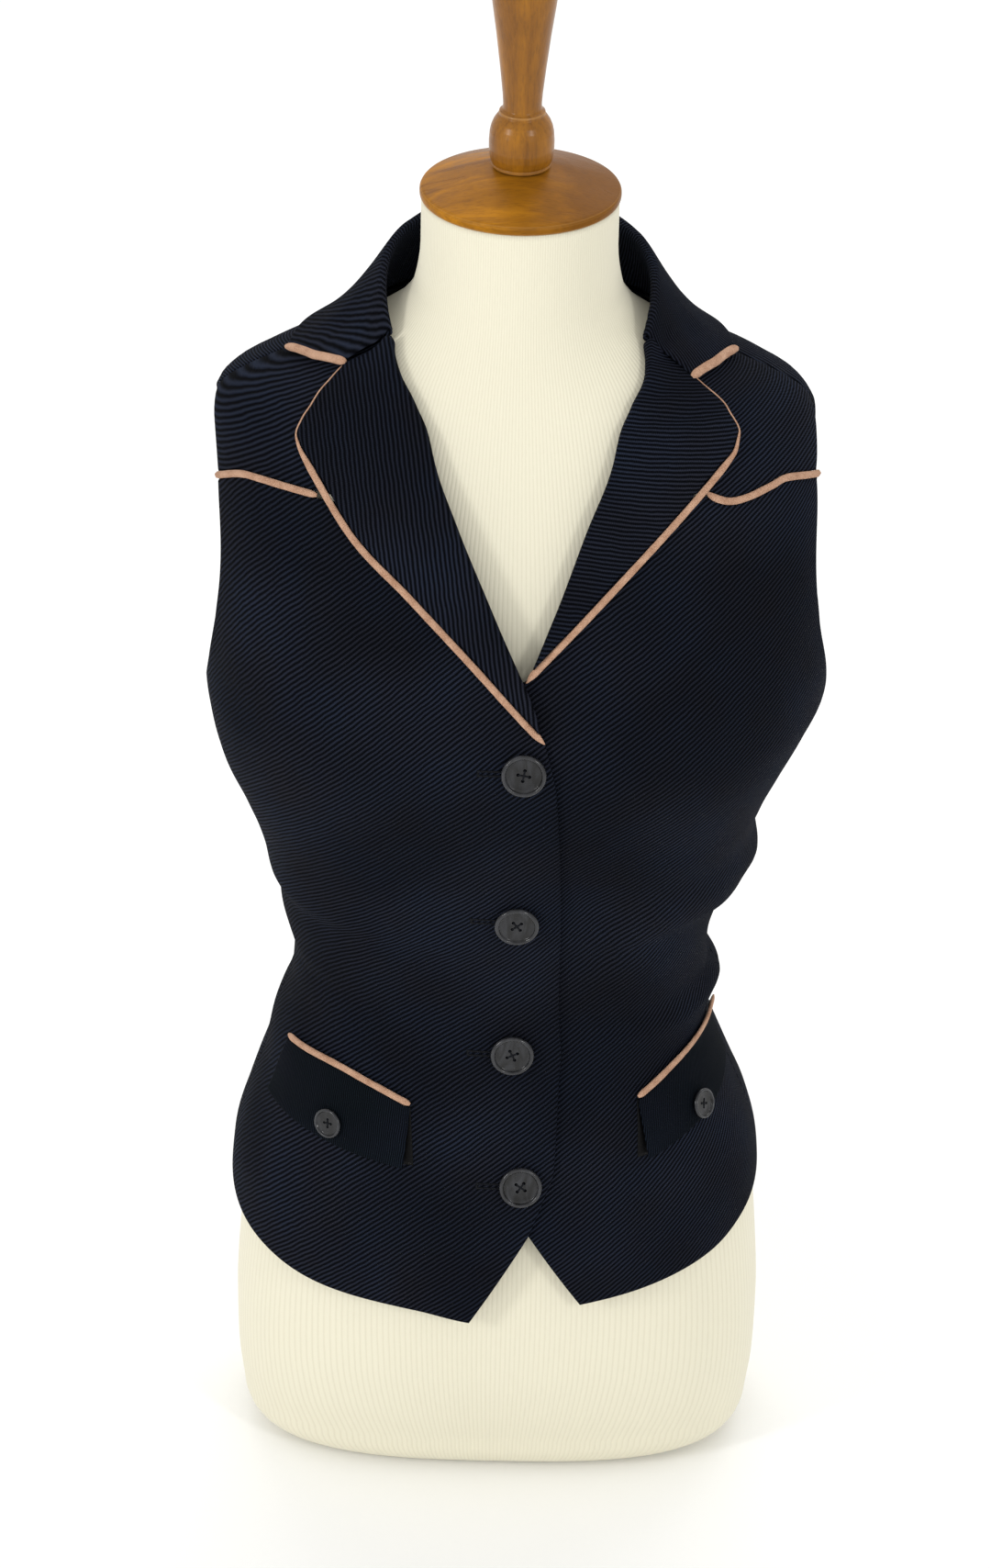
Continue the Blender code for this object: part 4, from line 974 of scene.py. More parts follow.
def flap(side, materials):
    """A pocket flap hanging from its piped edge, its inner lower corner curled away."""
    angles, tops, lows = zip(*side.pocket)
    angles = np.radians(angles) * side.sign
    top, low = monotone(angles, tops), monotone(angles, lows)
    first, last = angles[0], angles[-1]
    along = np.concatenate([[0, 0.012], np.linspace(0.03, 0.97, FLAP_COLUMNS), [0.988, 1]])
    down = np.concatenate([[0, 0.02], np.linspace(0.06, 0.95, FLAP_ROWS), [0.975, 1]])
    t, s = np.meshgrid(along, down, indexing="ij")
    spread = math.radians(FLAP_FLARE) * s * t
    a = first + (last - first) * t
    upper = top(a) - PIPING_WIDTH / 2
    z = upper + (low(a) - upper) * s
    phi = side.sign * (a + spread)
    curl = FLAP_STANDS_OFF * s**2 * np.clip(1 - t / 0.5, 0, 1) ** 2
    level = LAY + FLAP_CLOTH + curl + creases(phi, z)
    outer = cloth(phi, z, level)[0]
    inner = cloth(phi, z, level - FLAP_CLOTH)[0]
    across, up = cut_place(phi, z, 0.0)
    return grid_wall(f"pocket_flap_{side.name}_cloth", outer, inner,
                     turned_weave(across, up, FLAP_RIBS), materials)


def painted_pocket_shade(side, materials):
    """Painted shade: a near-black patch laid on the front where a flap's curled inner end leaves a shadowed
    gap.
    """
    angle, top, low = side.pocket[0]
    top -= PIPING_WIDTH / 2
    s, t = np.meshgrid(np.linspace(0, 1, 20), np.linspace(0, 1, 8), indexing="ij")
    z = top + (low + GAP_RISE - top) * s
    inner_edge = math.radians(angle)
    reach = GAP_WIDTH / vest_radius(inner_edge, z)
    under = GAP_UNDER / CREASE_RADIUS
    phi = inner_edge + side.sign * (under - (reach * s + under) * t)
    rise = creases(phi, z)
    outer = cloth(phi, z, rise + GAP_LIFT)[0]
    inner = cloth(phi, z, rise + GAP_FLOOR)[0]
    return grid_wall(f"pocket_gap_{side.name}", outer, inner, np.stack([phi * CREASE_RADIUS, z], -1),
                     materials)


# Materials and node trees

def linear(code):
    """A colour given as sRGB hex, as the linear values that the shaders take."""
    parts = [int(code[k:k + 2], 16) / 255 for k in (1, 3, 5)]
    return tuple(c / 12.92 if c <= 0.04045 else ((c + 0.055) / 1.055) ** 2.4 for c in parts)


def output(value):
    """A node stands for its first output."""
    return value.outputs[0] if isinstance(value, bpy.types.Node) else value


def add(tree, kind, inputs=None, **settings):
    """Adds one node with its settings, and fills or links its inputs."""
    made = tree.nodes.new(kind)
    for key, value in settings.items():
        setattr(made, key, value)
    for key, value in (inputs or {}).items():
        socket, value = made.inputs[key], output(value)
        if isinstance(value, bpy.types.NodeSocket):
            tree.links.new(value, socket)
        elif isinstance(value, tuple) and len(value) == 3 and len(socket.default_value) == 4:
            socket.default_value = (*value, 1)
        else:
            socket.default_value = value
    return made


def new_material(name, **shader_values):
    """An empty material with one shader, whose plain values sit on the shader's own sockets."""
    made = bpy.data.materials.new(name)
    made.use_nodes = True
    tree = made.node_tree
    tree.nodes.clear()
    shader = add(tree, "ShaderNodeBsdfPrincipled", shader_values)
    add(tree, "ShaderNodeOutputMaterial", {"Surface": shader})
    return made, tree, shader


def connect(tree, shader, colour, roughness=None, height=None, distance=0.0003):
    """Links what varies over a surface to its shader, with its relief as a bump."""
    found = {"Base Color": colour, "Roughness": roughness}
    if height is not None:
        found["Normal"] = add(tree, "ShaderNodeBump", {"Height": height, "Distance": distance})
    for key, value in found.items():
        if value is not None:
            tree.links.new(output(value), shader.inputs[key])


def steep_twill(name, pitch, relief, groove, ridge, contrast):
    """Wool cavalry twill, woven in rounded ribs of two-ply yarn with narrow grooves between them.
    The ribs catch real light on their bump, and the colour adds painted light on their backs and painted
    shade in the grooves; the nap keeps it matte.
    The weave map runs across the ribs in x and along them in y, in metres."""
    made, tree, shader = new_material(name, **{"Roughness": 0.8, "IOR": 1.14, "Specular IOR Level": 0.3})
    uv = add(tree, "ShaderNodeUVMap", uv_map="weave")
    # Hand-woven unevenness: ribs wander by a few tenths of a millimetre over a centimetre or two
    wander = add(tree, "ShaderNodeTexNoise", {"Vector": uv, "Scale": 75.0, "Detail": 2.0})
    centred = add(tree, "ShaderNodeVectorMath", {0: wander.outputs["Color"], 1: (0.5, 0.5, 0.5)},
                  operation="SUBTRACT")
    scaled = add(tree, "ShaderNodeVectorMath", {0: centred, "Scale": 0.0016}, operation="SCALE")
    place = add(tree, "ShaderNodeVectorMath", {0: uv, 1: scaled}, operation="ADD")
    axes = add(tree, "ShaderNodeSeparateXYZ", {0: place})
    turn = add(tree, "ShaderNodeMath", {0: axes, 1: math.pi / pitch}, operation="MULTIPLY")
    wave = add(tree, "ShaderNodeMath", {0: turn}, operation="SINE")
    rounded = add(tree, "ShaderNodeMath", {0: wave}, operation="ABSOLUTE")
    rib = add(tree, "ShaderNodeMath", {0: rounded, 1: 2.0}, operation="POWER")
    # The yarns of a rib lie across it at a slant, a third of the rib's pitch apart
    slant = add(tree, "ShaderNodeMath", {0: axes, 1: 0.9 * math.pi / pitch}, operation="MULTIPLY")
    step = add(tree, "ShaderNodeMath", {0: axes.outputs[1], 1: 2.6 * math.pi / pitch, 2: slant},
               operation="MULTIPLY_ADD")
    yarn_wave = add(tree, "ShaderNodeMath", {0: step}, operation="SINE")
    yarn = add(tree, "ShaderNodeMath", {0: yarn_wave}, operation="ABSOLUTE")
    fuzz = add(tree, "ShaderNodeTexNoise", {"Vector": uv, "Scale": 1400.0, "Detail": 3.0,
                                            "Roughness": 0.7})
    beads = add(tree, "ShaderNodeMath", {0: yarn, 1: 0.32, 2: rib},
                operation="MULTIPLY_ADD")
    height = add(tree, "ShaderNodeMath", {0: fuzz, 1: 0.5, 2: beads},
                 operation="MULTIPLY_ADD")
    # Painted shade between the ribs is weaker in broad patches: pressed and interlined parts show their ribs
    # less than the free cloth
    press = add(tree, "ShaderNodeTexNoise", {"Vector": uv, "Scale": 9.0, "Detail": 1.0})
    shown = add(tree, "ShaderNodeMapRange", {0: press, 1: 0.38, 2: 0.6, 3: 0.6 * contrast,
                                             4: contrast})
    # Painted shade and light: the colour is the groove colour in the hollows and reaches the rib colour only
    # on the crests
    tone = add(tree, "ShaderNodeMapRange", {0: height, 1: 0.55, 2: 1.6, 3: 0.0,
                                            4: shown})
    # Dyed wool varies a little from bluer to browner over a hand's breadth
    cloud = add(tree, "ShaderNodeTexNoise", {"Vector": uv, "Scale": 22.0, "Detail": 3.0})
    warm = add(tree, "ShaderNodeMapRange", {0: cloud, 1: 0.35, 2: 0.7})
    crest = add(tree, "ShaderNodeMix", {0: warm, 6: linear(ridge[0]), 7: linear(ridge[1])},
                data_type="RGBA")
    colour = add(tree, "ShaderNodeMix", {0: tone, 6: linear(groove), 7: crest.outputs[2]},
                 data_type="RGBA")
    connect(tree, shader, colour.outputs[2], height=height, distance=relief)
    return made


def satin_for_lining_and_painted_shade(colour):
    """Acetate lining, woven in fine satin: dark, smooth, with a soft sheen on its folds. Made near black, the
    same satin is also the painted shade in the gap beside each pocket flap.
    """
    made, tree, shader = new_material("acetate satin lining", **{"Roughness": 0.5, "IOR": 1.48,
                                                                 "Specular IOR Level": 0.12})
    uv = add(tree, "ShaderNodeUVMap", uv_map="weave")
    threads = add(tree, "ShaderNodeTexNoise", {"Vector": uv, "Scale": 900.0, "Detail": 2.0})
    shade = add(tree, "ShaderNodeMapRange", {0: threads, 1: 0.3, 2: 0.7, 3: 0.75, 4: 1.2})
    tinted = add(tree, "ShaderNodeVectorMath", {0: linear(colour), "Scale": shade},
                 operation="SCALE")
    connect(tree, shader, tinted, height=threads, distance=0.00008)
    return made


def suede_piping(light, dark):
    """Tan split suede cut in narrow strips and folded over a cord. Its nap scatters light in
    fine specks, paler where it is rubbed and darker in the seam beside it."""
    made, tree, shader = new_material("tan suede piping", **{"Roughness": 0.9, "IOR": 1.45,
                                                             "Sheen Weight": 0.08, "Sheen Roughness": 0.5,
                                                             "Specular IOR Level": 0.15})
    place = add(tree, "ShaderNodeTexCoord").outputs["Object"]
    nap = add(tree, "ShaderNodeTexNoise", {"Vector": place, "Scale": 1500.0, "Detail": 4.0,
                                           "Roughness": 0.75})
    patch = add(tree, "ShaderNodeTexNoise", {"Vector": place, "Scale": 160.0, "Detail": 3.0})
    mixed = add(tree, "ShaderNodeMath", {0: nap, 1: 2.0, 2: patch},
                operation="MULTIPLY_ADD")
    tone = add(tree, "ShaderNodeMapRange", {0: mixed, 1: 1.1, 2: 1.9})
    colour = add(tree, "ShaderNodeMix", {0: tone, 6: linear(dark), 7: linear(light)},
                 data_type="RGBA")
    connect(tree, shader, colour.outputs[2], height=mixed, distance=0.0005)
    return made


def cotton_thread(colour):
    """Polyester-wrapped sewing thread: a tight twist that shows as slanting ticks of light."""
    made, tree, shader = new_material("black sewing thread", **{"Roughness": 0.6, "IOR": 1.5,
                                                                 "Specular IOR Level": 0.12})
    place = add(tree, "ShaderNodeTexCoord").outputs["Object"]
    twist = add(tree, "ShaderNodeTexNoise", {"Vector": place, "Scale": 2600.0, "Detail": 2.0})
    shade = add(tree, "ShaderNodeMapRange", {0: twist, 1: 0.3, 2: 0.7, 3: 0.5, 4: 1.6})
    tinted = add(tree, "ShaderNodeVectorMath", {0: linear(colour), "Scale": shade},
                 operation="SCALE")
    connect(tree, shader, tinted, height=twist, distance=0.0002)
    return made


def ribbed_jersey(light, shade_colour, ribs):
    """Cotton jersey knitted in fine wales and stretched smooth over the form. The wales run
    up it and read as faint lines, closest together at the neck."""
    made, tree, shader = new_material("cream ribbed jersey", **{"Roughness": 0.85, "IOR": 1.5,
                                                                "Sheen Weight": 0.15,
                                                                "Specular IOR Level": 0.25})
    uv = add(tree, "ShaderNodeUVMap", uv_map="weave")
    axes = add(tree, "ShaderNodeSeparateXYZ", {0: uv})
    turn = add(tree, "ShaderNodeMath", {0: axes, 1: math.pi * ribs}, operation="MULTIPLY")
    wave = add(tree, "ShaderNodeMath", {0: turn}, operation="SINE")
    wale = add(tree, "ShaderNodeMath", {0: wave}, operation="ABSOLUTE")
    place = add(tree, "ShaderNodeTexCoord").outputs["Object"]
    slub = add(tree, "ShaderNodeTexNoise", {"Vector": place, "Scale": 420.0, "Detail": 3.0})
    patch = add(tree, "ShaderNodeTexNoise", {"Vector": place, "Scale": 9.0, "Detail": 3.0})
    height = add(tree, "ShaderNodeMath", {0: slub, 1: 0.4, 2: wale},
                 operation="MULTIPLY_ADD")
    tone = add(tree, "ShaderNodeMapRange", {0: height, 1: 0.15, 2: 0.95, 3: 0.3, 4: 0.85})
    cloud = add(tree, "ShaderNodeMath", {0: patch, 1: 0.3, 2: tone},
                operation="MULTIPLY_ADD")
    colour = add(tree, "ShaderNodeMix", {0: cloud, 6: linear(shade_colour), 7: linear(light)},
                 data_type="RGBA", clamp_factor=True)
    connect(tree, shader, colour.outputs[2], height=height, distance=0.00012)
    return made


def stained_beech(name, light, middle, dark, worn_colour, along, painted_side_shade, lacquer):
    """Beech turned on a lathe, wiped with an orange-brown stain and lacquered satin. The
    stain takes unevenly in patches and darkens the pores, which run along the grain; the +x side is also
    painted darker, a painted shade."""
    made, tree, shader = new_material(name, **{"Roughness": 0.3, "IOR": 1.24,
                                               "Specular IOR Level": 0.2 + lacquer,
                                               "Coat Weight": lacquer, "Coat Roughness": 0.26})
    place = add(tree, "ShaderNodeTexCoord").outputs["Object"]
    stretch = (1, 1, 0.13) if along == "Z" else (0.16, 1, 1)
    grain_place = add(tree, "ShaderNodeMapping", {"Vector": place, "Scale": stretch})
    bands = add(tree, "ShaderNodeTexNoise", {"Vector": grain_place, "Scale": 70.0, "Detail": 5.0,
                                             "Roughness": 0.6, "Distortion": 0.7})
    pores = add(tree, "ShaderNodeTexNoise", {"Vector": grain_place, "Scale": 900.0, "Detail": 3.0,
                                             "Roughness": 0.6})
    patch = add(tree, "ShaderNodeTexNoise", {"Vector": place, "Scale": 26.0, "Detail": 4.0,
                                             "Distortion": 0.8})
    broad = add(tree, "ShaderNodeMapRange", {0: bands, 1: 0.3, 2: 0.68})
    axes = add(tree, "ShaderNodeSeparateXYZ", {0: place})
    # Painted shade: the stain is painted deeper towards +x, the side away from the left key light, on top of
    # its random patches
    stain_patches_and_side_shade = add(tree, "ShaderNodeMath", {0: axes, 1: painted_side_shade, 2: patch},
                 operation="MULTIPLY_ADD")
    stain = add(tree, "ShaderNodeMapRange", {0: stain_patches_and_side_shade, 1: 0.3, 2: 0.75})
    warm = add(tree, "ShaderNodeMix", {0: broad, 6: linear(middle), 7: linear(light)},
               data_type="RGBA")
    stained = add(tree, "ShaderNodeMix", {0: stain, 6: warm.outputs[2], 7: linear(middle)},
                  data_type="RGBA")
    pore = add(tree, "ShaderNodeMapRange", {0: pores, 1: 0.34, 2: 0.52, 3: 0.26, 4: 0.0})
    colour = add(tree, "ShaderNodeMix", {0: pore, 6: stained.outputs[2], 7: linear(dark)},
                 data_type="RGBA")
    # The stain has rubbed off the turned edges, which read as thin pale lines
    edge = add(tree, "ShaderNodeNewGeometry").outputs["Pointiness"]
    rubbed = add(tree, "ShaderNodeMapRange", {0: edge, 1: 0.515, 2: 0.56, 3: 0.0, 4: 0.8})
    worn = add(tree, "ShaderNodeMix", {0: rubbed, 6: colour.outputs[2], 7: linear(worn_colour)},
               data_type="RGBA")
    gloss = add(tree, "ShaderNodeMapRange", {0: bands, 1: 0.3, 2: 0.7, 3: 0.24, 4: 0.4})
    connect(tree, shader, worn.outputs[2], roughness=gloss, height=pores,
            distance=0.00012)
    return made


def polished_horn(body, cloud_colour, painted_rim_highlight):
    """Black horn, sawn, turned and polished. It is nearly black, with smoky grey streaks in
    its depth, and its rim and dish throw sharp highlights. The crest of the rim also carries a painted
    highlight."""
    made, tree, shader = new_material("polished black horn", **{"Roughness": 0.2, "IOR": 1.54,
                                                                "Specular IOR Level": 0.36})
    place = add(tree, "ShaderNodeTexCoord").outputs["Object"]
    stretch = add(tree, "ShaderNodeMapping", {"Vector": place, "Rotation": (0, 0.6, 0),
                                              "Scale": (1, 1, 0.3)})
    streak = add(tree, "ShaderNodeTexNoise", {"Vector": stretch, "Scale": 130.0, "Detail": 4.0,
                                              "Distortion": 1.4})
    tone = add(tree, "ShaderNodeMapRange", {0: streak, 1: 0.42, 2: 0.75})
    colour = add(tree, "ShaderNodeMix", {0: tone, 6: linear(body), 7: linear(cloud_colour)},
                 data_type="RGBA")
    scuffs = add(tree, "ShaderNodeTexNoise", {"Vector": place, "Scale": 900.0, "Detail": 3.0})
    gloss = add(tree, "ShaderNodeMapRange", {0: scuffs, 1: 0.3, 2: 0.7, 3: 0.13, 4: 0.24})
    # Painted highlight: the crest of the rim is painted paler than the dish, for the light that it reflects
    edge = add(tree, "ShaderNodeNewGeometry").outputs["Pointiness"]
    crest = add(tree, "ShaderNodeMapRange", {0: edge, 1: 0.52, 2: 0.6, 3: 0.0, 4: 0.7})
    rim_with_painted_highlight = add(tree, "ShaderNodeMix", {0: crest, 6: colour.outputs[2], 7: linear(painted_rim_highlight)},
                 data_type="RGBA")
    connect(tree, shader, rim_with_painted_highlight.outputs[2], roughness=gloss, height=scuffs,
            distance=0.00002)
    return made


def studio_paper(name, colour):
    """Seamless background paper, matte, with a faint tooth."""
    made, tree, shader = new_material(name, **{"Roughness": 0.95, "IOR": 1.5, "Specular IOR Level": 0.1})
    place = add(tree, "ShaderNodeTexCoord").outputs["Object"]
    tooth = add(tree, "ShaderNodeTexNoise", {"Vector": place, "Scale": 300.0, "Detail": 2.0})
    shade = add(tree, "ShaderNodeMapRange", {0: tooth, 3: 0.985, 4: 1.0})
    tinted = add(tree, "ShaderNodeVectorMath", {0: linear(colour), "Scale": shade},
                 operation="SCALE")
    connect(tree, shader, tinted)
    return made


def start_tree(name, inputs):
    """A Geometry Nodes tree with named inputs: its group input node and the sockets' identifiers."""
    tree = bpy.data.node_groups.new(name, "GeometryNodeTree")
    face = tree.interface
    face.new_socket("Path", in_out="INPUT", socket_type="NodeSocketGeometry")
    known = {}
    for label, kind in inputs:
        known[label] = face.new_socket(label, in_out="INPUT", socket_type=kind).identifier
    face.new_socket("Geometry", in_out="OUTPUT", socket_type="NodeSocketGeometry")
    return tree, tree.nodes.new("NodeGroupInput"), known


def end_tree(tree, source, geometry):
    """Ends a tree in smooth shading, real instances and its material."""
    smooth = add(tree, "GeometryNodeSetShadeSmooth", {"Geometry": geometry})
    real = add(tree, "GeometryNodeRealizeInstances", {"Geometry": smooth})
    coated = add(tree, "GeometryNodeSetMaterial", {"Geometry": real,
                                                   "Material": source.outputs["Material"]})
    add(tree, "NodeGroupOutput", {0: coated})


def faced_path(tree, source):
    """The path as a curve that faces the way its points are told to."""
    path = add(tree, "GeometryNodeMeshToCurve", {"Mesh": source.outputs["Path"]})
    up = add(tree, "GeometryNodeInputNamedAttribute", {"Name": "up"}, data_type="FLOAT_VECTOR")
    return add(tree, "GeometryNodeSetCurveNormal", {"Curve": path, "Normal": up}, mode="FREE")


def cord_tree():
    """Sweeps a flattened round section along a path, its flat side across the path's normals."""
    tree, source, known = start_tree("cord along a path", (
        ("Width", "NodeSocketFloat"), ("Height", "NodeSocketFloat"), ("Sides", "NodeSocketInt"),
        ("Material", "NodeSocketMaterial")))
    girth = add(tree, "GeometryNodeInputNamedAttribute", {"Name": "girth"}, data_type="FLOAT")
    circle = add(tree, "GeometryNodeCurvePrimitiveCircle", {"Resolution": source.outputs["Sides"],
                                                            "Radius": 0.5})
    section = add(tree, "ShaderNodeCombineXYZ", {0: source.outputs["Height"], 1: source.outputs["Width"],
                                                 2: 1.0})
    flattened = add(tree, "GeometryNodeTransform", {"Geometry": circle,
                                                    "Scale": section})
    swept = add(tree, "GeometryNodeCurveToMesh", {"Curve": faced_path(tree, source), "Scale": girth,
                                                  "Profile Curve": flattened, "Fill Caps": True})
    end_tree(tree, source, swept)
    return tree, known


def lathe_tree():
    """Turns a profile, given as a path of radius and height, round an upright axis."""
    tree, source, known = start_tree("turned on a lathe", (
        ("Place", "NodeSocketVector"), ("Segments", "NodeSocketInt"), ("Material", "NodeSocketMaterial")))
    profile = add(tree, "GeometryNodeMeshToCurve", {"Mesh": source.outputs["Path"]})
    axis = add(tree, "GeometryNodeCurvePrimitiveCircle", {"Resolution": source.outputs["Segments"],
                                                          "Radius": 0.00001})
    upright = add(tree, "GeometryNodeSetCurveNormal", {"Curve": axis}, mode="Z_UP")
    swept = add(tree, "GeometryNodeCurveToMesh", {"Curve": upright,
                                                  "Profile Curve": profile})
    closed = add(tree, "GeometryNodeMergeByDistance", {"Geometry": swept, "Distance": 0.00003})
    placed = add(tree, "GeometryNodeTransform", {"Geometry": closed,
                                                 "Translation": source.outputs["Place"]})
    end_tree(tree, source, placed)
    return tree, known


def stitch_tree():
    """Sets purl stitches side by side along a path, each one across it."""
    tree, source, known = start_tree("purl stitches along a path", (
        ("Spacing", "NodeSocketFloat"), ("Length", "NodeSocketFloat"), ("Thickness", "NodeSocketFloat"),
        ("Material", "NodeSocketMaterial")))
    points = add(tree, "GeometryNodeCurveToPoints", {"Curve": faced_path(tree, source),
                                                     "Length": source.outputs["Spacing"]}, mode="LENGTH")
    ball = add(tree, "GeometryNodeMeshUVSphere", {"Segments": 8, "Rings": 6, "Radius": 0.5})
    size = add(tree, "ShaderNodeCombineXYZ", {0: source.outputs["Length"], 1: source.outputs["Thickness"],
                                              2: source.outputs["Thickness"]})
    placed = add(tree, "GeometryNodeInstanceOnPoints", {"Points": points.outputs["Points"],
                                                        "Instance": ball,
                                                        "Rotation": points.outputs["Rotation"],
                                                        "Scale": size})
    end_tree(tree, source, placed)
    return tree, known


def grown(name, paths, tree_and_inputs, values):
    """A plain mesh grown by a tree along paths. Each path is points, and normals and girths if it
    has them, in scene metres."""
    tree, known = tree_and_inputs
    points, edges, ups, girths = [], [], [], []
    for path in paths:
        places = np.asarray(path["points"], float)
        edges += [(len(points) + k, len(points) + k + 1) for k in range(len(places) - 1)]
        points += places.tolist()
        ups += np.asarray(path.get("up", np.tile((0.0, 0.0, 1.0), (len(places), 1)))).tolist()
        girths += list(path.get("girth", np.ones(len(places))))
    line = bpy.data.meshes.new(name + "_path")
    line.from_pydata(points, edges, [])
    line.attributes.new("up", "FLOAT_VECTOR", "POINT").data.foreach_set("vector", np.ravel(ups))
    line.attributes.new("girth", "FLOAT", "POINT").data.foreach_set("value", girths)
    carrier = put(name + "_path", line)
    modifier = carrier.modifiers.new("grow", "NODES")
    modifier.node_group = tree
    for label, value in values.items():
        modifier[known[label]] = value
    graph = bpy.context.evaluated_depsgraph_get()
    mesh = bpy.data.meshes.new_from_object(carrier.evaluated_get(graph), depsgraph=graph)
    carrier.modifiers.remove(modifier)
    bpy.data.objects.remove(carrier)
    bpy.data.meshes.remove(line)
    mesh.name = name
    outward(mesh)
    return put(name, mesh)


def finished(obj, node=None):
    """A piece of the object: it rides on the one body and may stand for a node of the part."""
    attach(obj, "root")
    if node:
        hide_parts(node)


def rounded_ends(count):
    """Girths of a cord that closes in a round end."""
    girth = np.ones(count)
    for k, share in enumerate((0.45, 0.8, 0.95)):
        girth[k] = min(girth[k], share)
        girth[-1 - k] = min(girth[-1 - k], share)
    return girth


def cord_path(centre, normal, girth):
    return {"points": to_scene(centre), "up": normal, "girth": girth * rounded_ends(len(centre))}


def surface_cord(path, lift, height):
    """Centre and normals of a cord laid along a path of the pattern plane."""
    phi, z = from_plane(path)
    return cloth(phi, z, lift(phi, z) + creases(phi, z) + height)


def smoothed(points):
    """Points of a path with its corners eased over a few steps."""
    points = np.array(points)
    for _ in range(3):
        points[1:-1] = (points[:-2] + 2 * points[1:-1] + points[2:]) / 4
    return points


def collar_pipings(grid):
    """Centre and normals of the suede piping on the front edge of each collar point."""
    found = []
    for side, rows in ((RIGHT, grid), (LEFT, grid[::-1])):
        corner = int(np.argmax(np.hypot(rows[:len(rows) // 2, -1, 0], rows[:len(rows) // 2, -1, 1])))
        edge, inner = rows[:corner + 1, -1], rows[:corner + 1, -6]
        edge = resample(edge, CORD_STEP)
        inner = resample_at(inner, np.linspace(0, 1, len(edge)))
        run = unit(np.gradient(edge, axis=0))
        out = edge - inner
        out = unit(out - run * (out * run).sum(1, keepdims=True))
        centre = edge + out * PIPING_WIDTH / 2
        normal = np.cross(np.gradient(centre, axis=0), out)
        found.append((f"piping_collar_{side.name}", centre, unit(normal * np.sign(normal[:, 2:3]))))
    return found


def circle(radius, count, centre=(0.0, 0.0), start=0.0):
    angle = start + 2 * math.pi * np.arange(count) / count
    return np.stack([centre[0] + radius * np.cos(angle), centre[1] + radius * np.sin(angle)], -1)


def button_mesh(name, diameter, hole, spread, turn, place, normal, materials):
    """A turned button with a raised rim, a groove inside it and four drilled holes."""
    r = diameter / 2
    edges = closed_edges(0, BUTTON_SEGMENTS)
    points = [circle(r, BUTTON_SEGMENTS)]
    count = BUTTON_SEGMENTS
    centres = circle(spread, 4, start=turn)
    for centre in centres:
        edges += closed_edges(count, HOLE_SEGMENTS)
        points += [circle(hole / 2 + lip, HOLE_SEGMENTS, centre) for lip in (0, HOLE_LIP)]
        count += 2 * HOLE_SEGMENTS
    for k, share in enumerate(BUTTON_RINGS):
        around = BUTTON_SEGMENTS if share > 0.65 else max(10, int(BUTTON_SEGMENTS * share))
        ring_points = circle(share * r, around, start=math.pi / BUTTON_SEGMENTS * (k % 2))
        off = np.min([np.hypot(*(ring_points - c).T) for c in centres], axis=0)
        points.append(ring_points[off > hole / 2 + 2 * HOLE_LIP])
    flat, faces = filled(np.vstack(points), edges)
    faces = [face for face in faces
             if min(math.hypot(*(flat[list(face)].mean(0) - c)) for c in centres) > hole / 2 * 0.98]
    size = diameter / BUTTON_DIAMETER
    radius = np.hypot(*flat.T) / r
    side = (Vector((1, 0, 0)) - Vector(normal) * normal[0]).normalized()
    axes = np.array([side, Vector(normal).cross(side), normal])
    layers_of = [np.array(place) + np.column_stack([flat, np.interp(radius, *zip(*section)) * size]) @ axes
                 for section in (BUTTON_SECTION, BUTTON_UNDER)]
    obj = add_mesh(name, np.vstack(layers_of), walled(faces, border(faces), len(flat)), materials)
    obj.data.set_sharp_from_angle(angle=math.radians(SHARP_ANGLE))
    dish = float(np.interp(spread / r, *zip(*BUTTON_SECTION))) * size
    return obj, [np.array(place) + np.array([*c, 0]) @ axes for c in centres], np.array(normal), dish


def thread_paths(holes, normal, top, under):
    """Strands sewn crosswise through the holes, three side by side, down to the cloth."""
    heights = [(0, -under), *((t, share * top + rise) for t, share, rise in STRAND), (1, -under)]
    paths = []
    for a, b in ((holes[0], holes[2]), (holes[1], holes[3])):
        beside_run = np.cross(normal, (b - a) / np.linalg.norm(b - a))
        for k in (-1, 0, 1):
            off = beside_run * THREAD * STRANDS_APART * k
            points = spline(np.array([a + (b - a) * t + off + normal * h for t, h in heights]), STRAND_STEP)
            paths.append({"points": to_scene(points), "up": np.tile(beside_run, (len(points), 1))})
    return paths


def buttonhole_path(x, z, length, width):
    """The stitched outline of a horizontal buttonhole, round at the button and wider behind."""
    run = []
    for end, half, turn in ((x, width / 2, -math.pi / 2), (x - length, 1.25 * width / 2, math.pi / 2)):
        for angle in turn + math.pi * np.arange(25) / 24:
            run.append((end + half * math.cos(angle), z + half * math.sin(angle)))
    run.append(run[0])
    phi, height = from_plane(spline(front_plane(run), STITCH_STEP))
    return cloth(phi, height, RISE + creases(phi, height) + STITCH_LIFT)


def lathe_path(section, step):
    """A turned section for the lathe tree: radius, and height below it, in scene metres."""
    points = resample(np.array(section, float), step)
    return {"points": np.stack([points[:, 0], -points[:, 1], 0 * points[:, 0]], -1) * MM}


# What a user would change

